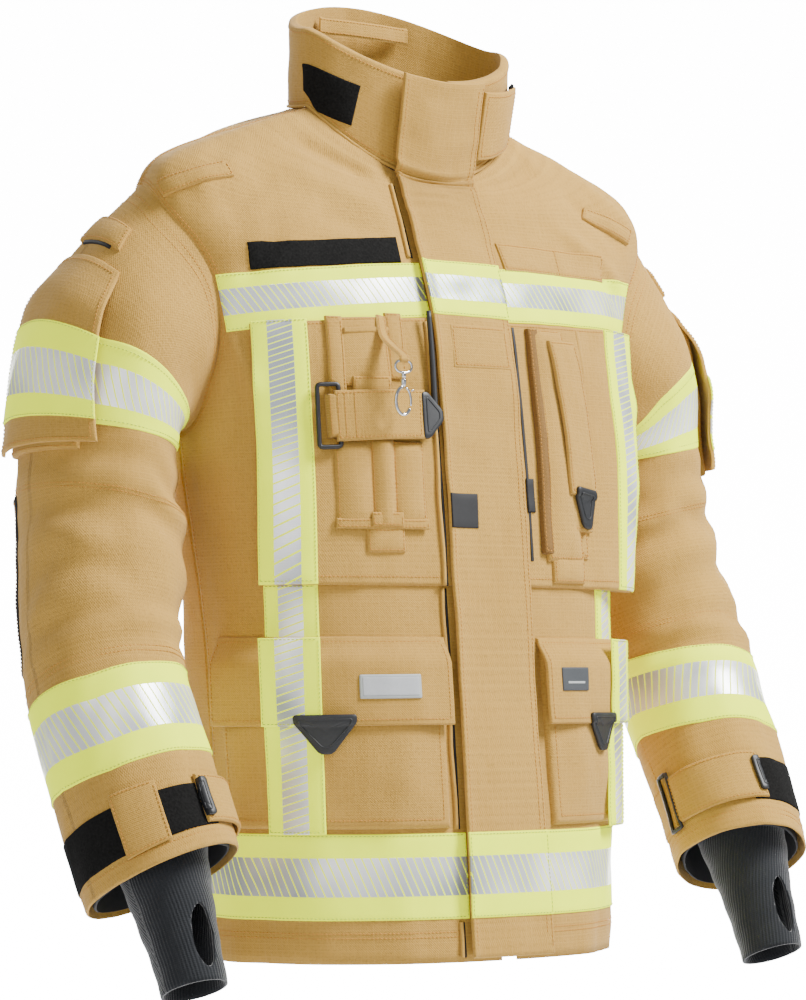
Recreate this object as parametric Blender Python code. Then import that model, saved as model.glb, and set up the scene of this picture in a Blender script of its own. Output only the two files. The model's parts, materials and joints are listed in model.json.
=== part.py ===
"""Turnout coat: the shell, its linings, collar, reflective tapes, pockets, flaps, straps, snap hook and cuffs.

Heights below are measured from the hem, then everything is moved so that the hanger loop is at the origin.
+X is the wearer's left, the coat faces -Y and +Z is up. Lengths are in metres.
"""

import math

import bmesh
import bpy
import numpy as np

MM = 0.001

# Where a hook carries the coat, inside the hanger loop.
HANG_POINT = (0.0, 0.069, 0.838)

# Layers, as distances out from the shell's inner face.
LINER = (-9.0 * MM, -6.6 * MM)
BARRIER = (-4.2 * MM, -3.0 * MM)
SHELL = (0.0, 2.0 * MM)
TAPE = (3.5 * MM, 4.5 * MM)
PANEL = (6.0 * MM, 8.0 * MM)
ON_PANEL = (9.5 * MM, 10.5 * MM)
FLAP = (9.0 * MM, 12.0 * MM)
ON_FLAP = (13.5 * MM, 14.5 * MM)

# Front layout.
PANEL_EDGE = 0.008
FLAP_HALF = 0.043
FRONT_START = 0.048
TAPE_S = 0.184
TAPE_HALF = 0.025
CHEST_BAND_Z = (0.557, 0.607)
HEM_BAND_Z = (0.035, 0.110)
CHEST_POCKET_Z = (0.327, 0.552)
LOWER_POCKET_Z = (0.118, 0.268)
LOWER_FLAP_Z = (0.199, 0.276)
LOWER_POCKET_S = (0.052, 0.252)
COLLAR_THICK = 7.0 * MM
LINING_LEVEL = 3.8
ZIP_TAPE = (-2.2 * MM, -1.0 * MM)
ZIP_REST = 0.508
ZIP_SLOPE = 0.1
ZIP_FRONT = 0.1565
SWIVEL = (-0.099, -0.132, 0.500)
CUFF_STRAP_ANGLES = (108, 172)
STEP = 0.022

# Each torso ring: side height, half width, front height, front depth, back height, back depth, squareness.
RINGS = np.array([
    [0.000, 0.198, 0.000, 0.152, 0.000, 0.135, 2.2],
    [0.145, 0.200, 0.145, 0.139, 0.145, 0.135, 2.3],
    [0.300, 0.205, 0.300, 0.124, 0.300, 0.135, 2.4],
    [0.410, 0.216, 0.410, 0.113, 0.410, 0.135, 2.5],
    [0.475, 0.223, 0.480, 0.104, 0.480, 0.135, 2.5],
    [0.530, 0.230, 0.540, 0.095, 0.540, 0.133, 2.5],
    [0.590, 0.244, 0.590, 0.081, 0.600, 0.130, 2.5],
    [0.645, 0.266, 0.632, 0.064, 0.655, 0.124, 2.5],
    [0.688, 0.254, 0.656, 0.054, 0.700, 0.116, 2.4],
    [0.716, 0.196, 0.671, 0.048, 0.733, 0.108, 2.3],
    [0.735, 0.145, 0.680, 0.044, 0.752, 0.100, 2.2],
    [0.747, 0.106, 0.686, 0.042, 0.766, 0.093, 2.0],
])

# Each collar ring: half width, front depth, back depth, front height, side height, back height.
COLLAR_RINGS = np.array([
    [0.107, 0.043, 0.094, 0.689, 0.750, 0.769],
    [0.110, 0.052, 0.087, 0.733, 0.785, 0.817],
    [0.112, 0.060, 0.079, 0.776, 0.821, 0.862],
])

# Each sleeve ring: outer point across and up, inner point across and up, centre fore and aft, half width fore and aft.
SLEEVE_RINGS = np.array([
    [0.2740, 0.668, 0.2315, 0.462, 0.033, 0.081],
    [0.3230, 0.604, 0.2335, 0.458, 0.036, 0.082],
    [0.3480, 0.530, 0.2350, 0.452, 0.040, 0.080],
    [0.3580, 0.460, 0.2350, 0.436, 0.041, 0.077],
    [0.3650, 0.410, 0.2345, 0.392, 0.036, 0.074],
    [0.3730, 0.360, 0.2345, 0.342, 0.026, 0.071],
    [0.3830, 0.297, 0.2490, 0.283, 0.008, 0.068],
    [0.3890, 0.232, 0.2590, 0.228, -0.018, 0.065],
    [0.3890, 0.150, 0.2610, 0.158, -0.058, 0.064],
    [0.3830, 0.064, 0.2600, 0.088, -0.098, 0.066],
])

COLOURS = {
    "tan": ((0.43, 0.30, 0.14), 0.85, 0.0),
    "liner": ((0.05, 0.06, 0.08), 0.9, 0.0),
    "barrier": ((0.75, 0.74, 0.66), 0.6, 0.0),
    "tape": ((0.72, 0.95, 0.10), 0.6, 0.0),
    "black": ((0.02, 0.02, 0.022), 0.8, 0.0),
    "rubber": ((0.03, 0.032, 0.035), 0.5, 0.0),
    "knit": ((0.02, 0.022, 0.035), 0.95, 0.0),
    "chrome": ((0.8, 0.8, 0.82), 0.15, 1.0),
}


def solid(name, points, faces, colour):
    """One closed body with a material of its own, turned so that its faces point out."""
    points = np.asarray(points, float) - np.array(HANG_POINT)
    mesh = bpy.data.meshes.new(name)
    mesh.from_pydata(points.tolist(), [], [list(face) for face in faces])
    shape = bmesh.new()
    shape.from_mesh(mesh)
    bmesh.ops.recalc_face_normals(shape, faces=shape.faces)
    if shape.calc_volume(signed=True) < 0:
        bmesh.ops.reverse_faces(shape, faces=shape.faces)
    shape.to_mesh(mesh)
    shape.free()
    obj = bpy.data.objects.new(name, mesh)
    bpy.context.scene.collection.objects.link(obj)
    tint, roughness, metallic = COLOURS[colour]
    material = bpy.data.materials.new(name)
    material.use_nodes = True
    principled = material.node_tree.nodes["Principled BSDF"]
    principled.inputs["Base Color"].default_value = (*tint, 1.0)
    principled.inputs["Roughness"].default_value = roughness
    principled.inputs["Metallic"].default_value = metallic
    mesh.materials.append(material)
    return obj


def smooth_rows(table, v):
    """Rows of a table at a fractional row number, as a curve through its rows."""
    v = np.clip(np.asarray(v, float), 0, len(table) - 1)
    i = np.minimum(v.astype(int), len(table) - 2)
    f = (v - i)[..., None]
    p1 = table[i]
    p2 = table[i + 1]
    p0 = np.where((i > 0)[..., None], table[np.maximum(i - 1, 0)], 2 * p1 - p2)
    p3 = np.where((i < len(table) - 2)[..., None], table[np.minimum(i + 2, len(table) - 1)], 2 * p2 - p1)
    square = (2 * p0 - 5 * p1 + 4 * p2 - p3) * f**2
    cube = (3 * p1 - p0 - 3 * p2 + p3) * f**3
    return 0.5 * (2 * p1 + (p2 - p0) * f + square + cube)


def oval(half_width, front, back, z_front, z_side, z_back, power, angle):
    """Points round a ring. Angle 0 is the front centre, a quarter turn is the wearer's left."""
    sine = np.sin(angle)
    cosine = np.cos(angle)
    x = half_width * np.sign(sine) * np.abs(sine) ** (2 / power)
    depth = np.where(cosine > 0, front, back)
    along = np.sign(cosine) * np.abs(cosine) ** (2 / power)
    y = -depth * along
    share = np.abs(along) ** 1.5
    z = z_side + (np.where(cosine > 0, z_front, z_back) - z_side) * share
    return np.stack([x, y, z], -1)


ANGLES = np.linspace(0, math.pi, 241)


class Wrap:
    """A surface made of rings, addressed by the arc length from the front centre and the ring number."""

    def __init__(self, table, kind):
        self.table = table
        self.kind = kind

    def ring(self, v):
        row = smooth_rows(self.table, v)
        if self.kind == "torso":
            z_side, half, z_front, front, z_back, back, power = row
        else:
            half, front, back, z_front, z_side, z_back = row
            power = 2.0
        return oval(half, front, back, z_front, z_side, z_back, power, ANGLES)

    def row(self, s, v):
        ring = self.ring(v)
        steps = np.linalg.norm(np.diff(ring, axis=0), axis=1)
        length = np.concatenate([[0.0], np.cumsum(steps)])
        s = np.asarray(s, float)
        found = np.stack([np.interp(np.abs(s), length, ring[:, k]) for k in range(3)], -1)
        found[:, 0] *= np.where(s < 0, -1.0, 1.0)
        return found

    def half_length(self, v):
        ring = self.ring(v)
        return np.linalg.norm(np.diff(ring, axis=0), axis=1).sum()

    def side(self, v):
        """Arc length to the side, where the ring is widest."""
        ring = self.ring(v)[: len(ANGLES) // 2 + 1]
        return np.linalg.norm(np.diff(ring, axis=0), axis=1).sum()

    def at_x(self, x, v):
        """Arc length at which the front of the ring is x from the centre."""
        ring = self.ring(v)[: len(ANGLES) // 2 + 1]
        steps = np.linalg.norm(np.diff(ring, axis=0), axis=1)
        return float(np.interp(x, ring[:, 0], np.concatenate([[0.0], np.cumsum(steps)])))

    def level(self, z, column=2):
        """Ring number at a front height."""
        v = np.linspace(0, len(self.table) - 1, 400)
        return float(np.interp(z, smooth_rows(self.table, v)[:, column], v))

    def placed(self, s, v, offset):
        """One row of points, moved out from the surface."""
        s = np.asarray(s, float)
        here = self.row(s, v)
        top = len(self.table) - 1
        low = max(v - 0.05, 0)
        high = min(v + 0.05, top)
        across = self.row(s + 0.004, v) - self.row(s - 0.004, v)
        up = self.row(s, high) - self.row(s, low)
        out = np.cross(across, up)
        out /= np.linalg.norm(out, axis=1)[:, None]
        return here + out * np.asarray(offset, float)[..., None]

    def inset(self, s, v, depth):
        """One row of points on the same rings made smaller, as a lining is."""
        half, front, back = smooth_rows(self.table, v)[[1, 3, 5]]
        here = self.row(s, v)
        here[:, 0] *= (half - depth) / half
        here[:, 1] *= np.where(here[:, 1] < 0, (front - depth) / front, (back - depth) / back)
        here[:, 2] -= depth * np.clip((here[:, 2] - 0.60) / 0.06, 0, 1)
        return here


class Sleeve:
    """The wearer's left sleeve. Angle 0 is its outer side and a quarter turn is its front."""

    def point(self, angle, q, offset=0.0):
        row = smooth_rows(SLEEVE_RINGS, q)
        outer = np.array([row[0], row[4], row[1]])
        inner = np.array([row[2], row[4], row[3]])
        centre = (outer + inner) / 2
        half = np.linalg.norm(outer - inner) / 2
        outward = (outer - centre) / half
        step = smooth_rows(SLEEVE_RINGS, min(q + 0.1, 9.0)) - smooth_rows(SLEEVE_RINGS, max(q - 0.1, 0.0))
        fall = min(step[1] + step[3], -1e-6) / 2
        forward = np.array([0.0, -1.0, step[4] / fall * min(q / 3, 1.0)])
        forward /= np.linalg.norm(forward)
        angle = np.asarray(angle, float)
        reach = (half + offset) * np.cos(angle)
        fore = (row[5] + offset) * np.sin(angle)
        found = centre + reach[..., None] * outward + fore[..., None] * forward
        # The front and the back of the sleeve head reach in towards the armhole's edge.
        saddle = np.where(np.sin(angle) > 0, 0.026, 0.070) * np.sin(angle) ** 4 * max(0.0, 1 - q / 3) ** 2
        return found - saddle[..., None] * np.array([1.0, 0.0, 0.0])


TORSO = Wrap(RINGS, "torso")
COLLAR = Wrap(COLLAR_RINGS, "collar")
SLEEVE = Sleeve()


def stations(start, end, step):
    """Shared stations between two ends, so that neighbouring layers bend at the same places."""
    inner = [k * step for k in range(math.ceil(start / step), math.floor(end / step) + 1)]
    inner = [value for value in inner if start + 0.3 * step < value < end - 0.3 * step]
    return np.array([start, *inner, end])


def slab(name, inner, outer, colour, closed=False):
    """A closed body between two grids of points."""
    rows, columns = inner.shape[:2]
    count = rows * columns
    points = np.concatenate([inner.reshape(-1, 3), outer.reshape(-1, 3)])
    faces = []
    last = columns if closed else columns - 1
    for r in range(rows - 1):
        for c in range(last):
            d = (c + 1) % columns
            square = [r * columns + c, r * columns + d, (r + 1) * columns + d, (r + 1) * columns + c]
            faces.append([count + k for k in square])
            faces.append(square[::-1])
    for r in range(rows - 1):
        if closed:
            break
        for c in (0, columns - 1):
            edge = [r * columns + c, (r + 1) * columns + c]
            wall = [edge[0], edge[1], count + edge[1], count + edge[0]]
            faces.append(wall if c == 0 else wall[::-1])
    for c in range(last):
        d = (c + 1) % columns
        for r in (0, rows - 1):
            wall = [r * columns + c, count + r * columns + c, count + r * columns + d, r * columns + d]
            faces.append(wall if r == 0 else wall[::-1])
    return solid(name, points, faces, colour)


def value(limit, v):
    return limit(v) if callable(limit) else limit


def cloth(name, start, end, levels, layer, colour, wrap=TORSO, step=STEP, side=1):
    """A piece lying on a ring surface. The limits are arc lengths, and may depend on the level."""
    low, high = levels
    rows = stations(low, high, 0.5)
    simple = not callable(start) and not callable(end)
    inner = []
    outer = []
    for v in rows:
        a = value(start, v)
        b = value(end, v)
        if simple:
            s = stations(a, b, step)
        else:
            s = np.linspace(a, b, max(2, round((value(end, low) - value(start, low)) / step) + 1))
        near = value(layer[0], v)
        far = value(layer[1], v)
        inner.append(wrap.placed(s, v, near + 0 * s))
        outer.append(wrap.placed(s, v, far + 0 * s))
    inner = np.array(inner)
    outer = np.array(outer)
    if side < 0:
        inner = inner * [-1, 1, 1]
        outer = outer * [-1, 1, 1]
    return slab(name, inner, outer, colour)


def front(z0, z1):
    return TORSO.level(z0), TORSO.level(z1)


def tube(name, q0, q1, layer, colour, side, a0=None, a1=None, columns=18, rows=None):
    """A piece lying on a sleeve, all round it or between two angles in degrees."""
    whole = a0 is None
    count = rows or max(2, round((q1 - q0) / 0.5) + 1)
    if whole:
        angles = np.linspace(0, 2 * math.pi, columns, endpoint=False)
    else:
        angles = np.radians(np.linspace(a0, a1, max(2, round((a1 - a0) / 18) + 1)))
    levels = np.linspace(q0, q1, count)
    inner = np.array([SLEEVE.point(angles, q, layer[0]) for q in levels])
    outer = np.array([SLEEVE.point(angles, q, layer[1]) for q in levels])
    if side < 0:
        inner = inner * [-1, 1, 1]
        outer = outer * [-1, 1, 1]
    return slab(name, inner, outer, colour, closed=whole)


def rod(name, path, radius, colour, closed=False, sides=8, flat=1.0):
    """A round bar swept along a path."""
    path = np.asarray(path, float)
    count = len(path)
    rings = []
    normal = None
    for i in range(count):
        if closed:
            tangent = path[(i + 1) % count] - path[i - 1]
        else:
            tangent = path[min(i + 1, count - 1)] - path[max(i - 1, 0)]
        tangent /= np.linalg.norm(tangent)
        if normal is None:
            spare = np.array([0.0, 1.0, 0.0]) if abs(tangent[1]) < 0.9 else np.array([1.0, 0.0, 0.0])
            normal = spare
        normal = normal - tangent * (normal @ tangent)
        normal /= np.linalg.norm(normal)
        other = np.cross(tangent, normal)
        angles = np.linspace(0, 2 * math.pi, sides, endpoint=False)
        round_it = np.cos(angles)[:, None] * normal * flat + np.sin(angles)[:, None] * other
        rings.append(path[i] + radius * round_it)
    points = np.concatenate(rings)
    faces = []
    for i in range(count if closed else count - 1):
        j = (i + 1) % count
        for k in range(sides):
            m = (k + 1) % sides
            faces.append([i * sides + k, i * sides + m, j * sides + m, j * sides + k])
    if not closed:
        faces.append(list(range(sides))[::-1])
        faces.append([(count - 1) * sides + k for k in range(sides)])
    return solid(name, points, faces, colour)


def loop_path(centre, across, up, width, height, corner, per_corner=3):
    """A rounded rectangle as a closed path."""
    centre = np.asarray(centre, float)
    across = np.asarray(across, float) / np.linalg.norm(across)
    up = np.asarray(up, float) / np.linalg.norm(up)
    path = []
    for k, (sx, sz) in enumerate(((1, 1), (-1, 1), (-1, -1), (1, -1))):
        for i in range(per_corner):
            turn = math.radians(90 * k + 90 * i / (per_corner - 1))
            x = sx * (width / 2 - corner) + corner * math.cos(turn)
            z = sz * (height / 2 - corner) + corner * math.sin(turn)
            path.append(centre + across * x + up * z)
    return path


def cut(obj, *cutters):
    """Takes closed cutters away from an object for good, and keeps its largest piece."""
    made = []
    for points, faces in cutters:
        cutter = solid(obj.name + "_cutter", points, faces, "black")
        cutter.hide_render = True
        modifier = obj.modifiers.new("opening", "BOOLEAN")
        modifier.operation = "DIFFERENCE"
        modifier.solver = "EXACT"
        modifier.use_self = True
        modifier.object = cutter
        made.append(cutter)
    bpy.context.view_layer.update()
    graph = bpy.context.evaluated_depsgraph_get()
    result = bpy.data.meshes.new_from_object(obj.evaluated_get(graph))
    obj.modifiers.clear()
    obj.data = result
    for cutter in made:
        bpy.data.objects.remove(cutter)
    shape = bmesh.new()
    shape.from_mesh(result)
    groups = []
    left = set(shape.faces)
    while left:
        group = {left.pop()}
        edge = list(group)
        while edge:
            near = {other for side in edge.pop().edges for other in side.link_faces} & left
            left -= near
            group |= near
            edge.extend(near)
        groups.append(group)
    groups.sort(key=lambda group: -sum(face.calc_area() for face in group))
    for group in groups[1:]:
        bmesh.ops.delete(shape, geom=list(group), context="FACES")
    shape.to_mesh(result)
    shape.free()


def armhole(side, grow):
    """A short elliptical drum that crosses the side of the torso at the armhole."""
    centre = np.array([0.2520 * side, 0.033, 0.563])
    tall = np.array([0.24 * side, 0.0, 0.97])
    tall /= np.linalg.norm(tall)
    fore = np.array([0.0, -1.0, 0.0])
    axis = np.cross(tall, fore)
    angles = np.linspace(0, 2 * math.pi, 24, endpoint=False)
    ring = np.cos(angles)[:, None] * tall * (0.100 + grow) + np.sin(angles)[:, None] * fore * (0.078 + grow)
    points = np.concatenate([centre + ring - axis * 0.075, centre + ring + axis * 0.075])
    faces = [list(range(24))[::-1], [24 + k for k in range(24)]]
    for k in range(24):
        m = (k + 1) % 24
        faces.append([k, m, 24 + m, 24 + k])
    return points, faces


def wrap_behind(name, start, levels, layer, colour, columns, inset=False):
    """A piece that runs round the back from one side to the other."""
    inner = []
    outer = []
    for v in levels:
        s0 = value(start, v)
        half = TORSO.half_length(v)
        arc = np.linspace(s0, 2 * half - s0, columns)
        s = np.where(arc <= half, arc, -(2 * half - arc))
        if inset:
            inner.append(TORSO.inset(s, v, -layer[0]))
            outer.append(TORSO.inset(s, v, -layer[1]))
        else:
            inner.append(TORSO.placed(s, v, layer[0] + 0 * s))
            outer.append(TORSO.placed(s, v, layer[1] + 0 * s))
    return slab(name, np.array(inner), np.array(outer), colour)


def build_torso():
    """The shell panels, meeting at the side seams, and the two linings below the armholes."""
    rows = stations(0.0, 11.0, 0.5)
    back = wrap_behind("back_panel", lambda v: TORSO.side(v) + 0.0006, rows, SHELL, "tan", 21)
    cut(back, armhole(-1, 0.0), armhole(1, 0.0))
    low_rows = stations(0.0, LINING_LEVEL, 1.0)
    wrap_behind("moisture_barrier", 0.040, low_rows, BARRIER, "barrier", 29, inset=True)
    wrap_behind("thermal_liner", 0.040, low_rows, LINER, "liner", 29, inset=True)
    for side, word in ((1, "left"), (-1, "right")):
        inner = []
        outer = []
        for v in rows:
            s = np.linspace(PANEL_EDGE, TORSO.side(v) - 0.0006, 11)
            inner.append(TORSO.placed(s, v, SHELL[0] + 0 * s) * [side, 1, 1])
            outer.append(TORSO.placed(s, v, SHELL[1] + 0 * s) * [side, 1, 1])
        panel = slab(f"{word}_front_panel", np.array(inner), np.array(outer), "tan")
        cut(panel, armhole(side, 0.0))
        zip_levels = front(0.012, 0.660)
        inner_edge = 0.0012
        cloth(f"zip_tape_{word}", inner_edge, 0.020, zip_levels, ZIP_TAPE, "black", side=side)


def build_bands():
    """The reflective tapes on the fronts and the back."""
    chest = front(*CHEST_BAND_Z)
    hem = front(*HEM_BAND_Z)
    for side, word in ((1, "left"), (-1, "right")):
        start = FRONT_START
        cloth(f"{word}_chest_band", start, lambda v: TORSO.at_x(0.206, v), chest, TAPE, "tape", side=side)
        cloth(f"{word}_hem_band", start, lambda v: TORSO.side(v) - 0.001, hem, TAPE, "tape", side=side)
        upper = (TORSO.level(CHEST_POCKET_Z[0]), TORSO.level(CHEST_POCKET_Z[1]))
        near, far = TAPE_S - TAPE_HALF, TAPE_S + TAPE_HALF
        cloth(f"{word}_upper_vertical_tape", near, far, upper, ON_PANEL, "tape", side=side)
        lower = (TORSO.level(HEM_BAND_Z[1] + 0.001), TORSO.level(CHEST_POCKET_Z[0] - 0.002))
        cloth(f"{word}_lower_vertical_tape", near, far, lower, TAPE, "tape", side=side)
    back_chest = (TORSO.level(0.552, 4), TORSO.level(0.602, 4))
    rows = np.linspace(*back_chest, 3)
    wrap_behind("back_chest_band", lambda v: TORSO.side(v) + 0.075, rows, TAPE, "tape", 17)
    rows = np.linspace(*hem, 3)
    wrap_behind("back_hem_band", lambda v: TORSO.side(v) + 0.001, rows, TAPE, "tape", 21)


def build_collar():
    """The padded stand-up collar, open at the front, with what is sewn to it."""
    inner = []
    outer = []
    for v in np.linspace(0, 2, 5):
        half = COLLAR.half_length(v)
        arc = np.linspace(PANEL_EDGE, 2 * half - PANEL_EDGE, 31)
        s = np.where(arc <= half, arc, -(2 * half - arc))
        inner.append(COLLAR.placed(s, v, -COLLAR_THICK + 0 * s))
        outer.append(COLLAR.placed(s, v, 0 * s))
    slab("collar", np.array(inner), np.array(outer), "tan")
    patch = (lambda v: 0.056 + 0.012 * (2 - v) / 2, 0.100)
    cloth("collar_patch", *patch, (0.22, 1.45), (1.2 * MM, 2.4 * MM), "black", COLLAR, side=-1)
    # The loop stands off the inside of the collar so that a hook fits behind it.
    path = []
    top = 0.838
    for x, gap in ((-0.046, 1.2), (-0.036, 4.0), (-0.020, 9.0), (0.0, 10.5), (0.020, 9.0), (0.036, 4.0), (0.046, 1.2)):
        back = 0.0805 * math.sqrt(1 - (x / 0.112) ** 2) - COLLAR_THICK
        path.append((x, back - (gap + 0.5) * MM))
    inner = []
    outer = []
    for z in (top - 0.0075, top + 0.0075):
        shift = 0.094 - 0.079 - (z - 0.769) / 0.093 * 0.015
        inner.append([(x, y + shift - 0.004, z) for x, y in path])
        outer.append([(x, y + shift - 0.0025, z) for x, y in path])
    slab("hanger_loop", np.array(inner), np.array(outer), "tan")


def build_storm_flap():
    """The flap over the front zip, its tapes, and the tab folded back on the collar."""
    inner = []
    outer = []
    s = np.array([-FLAP_HALF, -0.022, 0.0, 0.022, FLAP_HALF])
    for v in stations(0.02, 10.6, 0.34):
        inner.append(TORSO.placed(s, v, FLAP[0] + 0 * s))
        outer.append(TORSO.placed(s, v, FLAP[1] + 0 * s))
    for v in np.linspace(0.35, 1.98, 4):
        inner.append(COLLAR.placed(s, v, FLAP[0] + 0 * s))
        outer.append(COLLAR.placed(s, v, FLAP[1] + 0 * s))
    slab("storm_flap", np.array(inner), np.array(outer), "tan")
    for name, band in (("flap_chest_band", CHEST_BAND_Z), ("flap_hem_band", HEM_BAND_Z)):
        cloth(name, -FLAP_HALF, FLAP_HALF, front(*band), ON_FLAP, "tape")
    cloth("collar_tab", FLAP_HALF + 0.004, 0.085, (0.35, 1.75), (2.0 * MM, 4.5 * MM), "tan", COLLAR)
    # The front zip's slider runs in the channel between the two fronts.
    centre = (0.0, ZIP_SLOPE * ZIP_REST - ZIP_FRONT, ZIP_REST)
    box("zip_slider", centre, (0.010, 0.004, 0.024), "black", lean=math.atan(ZIP_SLOPE))


def box(name, centre, size, colour, lean=0.0, turn=0.0):
    """A block, leaning back about X and then turned about Z."""
    points = []
    for x in (-0.5, 0.5):
        for y in (-0.5, 0.5):
            for z in (-0.5, 0.5):
                px, py, pz = x * size[0], y * size[1], z * size[2]
                py, pz = (
                    py * math.cos(lean) + pz * math.sin(lean),
                    -py * math.sin(lean) + pz * math.cos(lean),
                )
                px, py = px * math.cos(turn) - py * math.sin(turn), px * math.sin(turn) + py * math.cos(turn)
                points.append((centre[0] + px, centre[1] + py, centre[2] + pz))
    faces = [[0, 1, 3, 2], [4, 6, 7, 5], [0, 4, 5, 1], [2, 3, 7, 6], [0, 2, 6, 4], [1, 5, 7, 3]]
    return solid(name, points, faces, colour)


def build_chest():
    """What is on the two chest panels."""
    levels = front(*CHEST_POCKET_Z)
    for side, word in ((1, "left"), (-1, "right")):
        cloth(f"{word}_chest_pocket", FRONT_START, TAPE_S + 0.034, levels, PANEL, "tan", side=side)

    def on_front(name, x0, x1, z0, z1, layer, colour, side):
        start = lambda v: TORSO.at_x(x0, v)
        stop = lambda v: TORSO.at_x(x1, v)
        return cloth(name, start, stop, front(z0, z1), layer, colour, side=side)

    on_front("name_strip", 0.065, 0.205, 0.6095, 0.6330, TAPE, "black", -1)
    on_front("instrument_loop", 0.062, 0.180, 0.6095, 0.6330, TAPE, "tan", 1)
    on_front("radio_pocket", 0.092, 0.140, 0.497, 0.545, (9.5 * MM, 15.0 * MM), "tan", -1)
    on_front("tool_pocket", 0.062, 0.140, 0.373, 0.446, (9.5 * MM, 15.0 * MM), "tan", -1)
    on_front("chest_strap", 0.062, 0.145, 0.450, 0.492, (17.0 * MM, 19.0 * MM), "tan", -1)
    top, bottom = TORSO.level(0.550), TORSO.level(0.512)
    sag = lambda v: 17.0 * MM + 17.0 * MM * (top - v) / (top - bottom)
    on_front("hook_strap", 0.090, 0.108, 0.512, 0.550, (sag, lambda v: sag(v) + 1.5 * MM), "tan", -1)
    on_front("left_chest_strap", 0.083, 0.125, 0.395, 0.540, (10.0 * MM, 14.0 * MM), "tan", 1)
    # The chest strap's rubber pull narrows to its tip.
    low, high = front(0.452, 0.490)
    middle = (low + high) / 2
    tip = lambda v: TORSO.at_x(0.0615, v) - 0.0008
    reach = lambda v: 0.0475 + 0.009 * abs(v - middle) / (high - low)
    cloth("chest_strap_pull", reach, tip, (low, high), (17.0 * MM, 20.0 * MM), "rubber", side=-1)
    # The buckle's loop is sewn to the panel at the strap's outer end.
    v = TORSO.level(0.471)
    s = TORSO.at_x(0.1515, v)
    centre = TORSO.placed(np.array([s]), v, np.array([15.0 * MM]))[0] * [-1, 1, 1]
    rod("chest_strap_buckle", loop_path(centre, (-1, 0.75, 0), (0, 0, 1), 0.009, 0.058, 0.003), 1.6 * MM, "black", True)


def hook_point(degrees):
    """A point on the snap hook's bend, from its right side round the top."""
    x, y, z = SWIVEL
    turn = math.radians(degrees)
    return (x + 0.0080 * math.cos(turn), y, z - 0.0200 + 0.0110 * math.sin(turn))


def build_snap_hook():
    """A swivel ring in the strap's end, the hook that turns in it, and the hook's gate."""
    x, y, z = SWIVEL
    rod("snap_hook_ring", loop_path((x, y, z + 0.008), (1, 0, 0), (0, 0, 1), 0.018, 0.012, 0.004), 1.2 * MM, "chrome", True)
    path = [(x, y, z - 0.0015), (x, y, z - 0.006)]
    for degrees in range(90, 331, 24):
        path.append(hook_point(degrees))
    rod("snap_hook_body", path, 1.5 * MM, "chrome")
    rod("snap_hook_gate", [hook_point(degrees) for degrees in (56, 36, 16, -4)], 1.1 * MM, "chrome")


def build_lower_pockets():
    """The bellows pockets with their flaps, which wrap towards the sides."""
    start, end = LOWER_POCKET_S
    for side, word in ((1, "left"), (-1, "right")):
        body = (TORSO.level(LOWER_POCKET_Z[0]), TORSO.level(LOWER_POCKET_Z[1]))
        cloth(f"{word}_lower_pocket", start, end - 0.004, body, (6.0 * MM, 13.0 * MM), "tan", side=side)
        flap = (TORSO.level(LOWER_FLAP_Z[0]), TORSO.level(LOWER_FLAP_Z[1]))
        cloth(f"{word}_lower_flap", start, end, flap, (15.0 * MM, 18.0 * MM), "tan", side=side)


def build_sleeves():
    """Each sleeve, its tapes, outer pocket, cuff strap and wristlet."""
    for side, word in ((1, "left"), (-1, "right")):
        tube(f"{word}_sleeve", 0.0, 9.0, (-2.5 * MM, 0.0), "tan", side)
        tube(f"{word}_upper_sleeve_tape", 1.75, 3.0, TAPE, "tape", side)
        tube(f"{word}_forearm_tape", 6.62, 7.80, (1.5 * MM, 2.5 * MM), "tape", side)
        tube(f"{word}_sleeve_pocket", 1.1, 3.45, (6.0 * MM, 14.0 * MM), "tan", side, -34, 40)
        tube(f"{word}_sleeve_flap", 0.72, 3.20, (16.0 * MM, 19.0 * MM), "tan", side, -36, 42)
        tube(f"{word}_cuff_strap", 8.00, 8.75, (4.0 * MM, 6.0 * MM), "tan", side, *CUFF_STRAP_ANGLES)
        inner = []
        outer = []
        angles = np.linspace(0, 2 * math.pi, 16, endpoint=False)
        for share in np.linspace(0, 1, 8):
            centre = np.array([0.3230, -0.084, 0.125]) * (1 - share) + np.array([0.3180, -0.140, -0.008]) * share
            radius = 0.045 - 0.015 * share
            lean = np.array([0.0, -1.0, 0.42])
            for ring, r in ((inner, radius - 2.0 * MM), (outer, radius)):
                around = np.cos(angles)[:, None] * [r, 0, 0] + np.sin(angles)[:, None] * lean * r
                ring.append(centre + around)
        inner = np.array(inner) * [side, 1, 1]
        outer = np.array(outer) * [side, 1, 1]
        knit = slab(f"{word}_wristlet", inner, outer, "knit", closed=True)
        hole = []
        for depth in (0.02, 0.08):
            for turn in np.linspace(0, 2 * math.pi, 12, endpoint=False):
                hole.append([(0.320 - 0.012 * math.cos(turn)) * side, -0.116 - depth, 0.040 + 0.024 * math.sin(turn)])
        faces = [list(range(12)), list(range(12, 24))]
        faces += [[k, (k + 1) % 12, 12 + (k + 1) % 12, 12 + k] for k in range(12)]
        cut(knit, (hole, faces))
        levels = (7.35, 8.25)
        cloth(f"{word}_shoulder_loop", lambda v: TORSO.side(v) - 0.105, lambda v: TORSO.side(v) - 0.085,
              levels, (4.0 * MM, 6.0 * MM), "tan", side=side)


for item in list(bpy.data.objects):
    bpy.data.objects.remove(item)

build_torso()
build_bands()
build_collar()
build_storm_flap()
build_chest()
build_snap_hook()
build_lower_pockets()
build_sleeves()
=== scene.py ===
"""Looks for the turnout coat: cloth, tapes, stitching, pockets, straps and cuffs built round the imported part.

Lengths are in metres. Heights are measured from the hem and moved at the end so that the hanger loop is the origin.
"""

import json
import math

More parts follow.
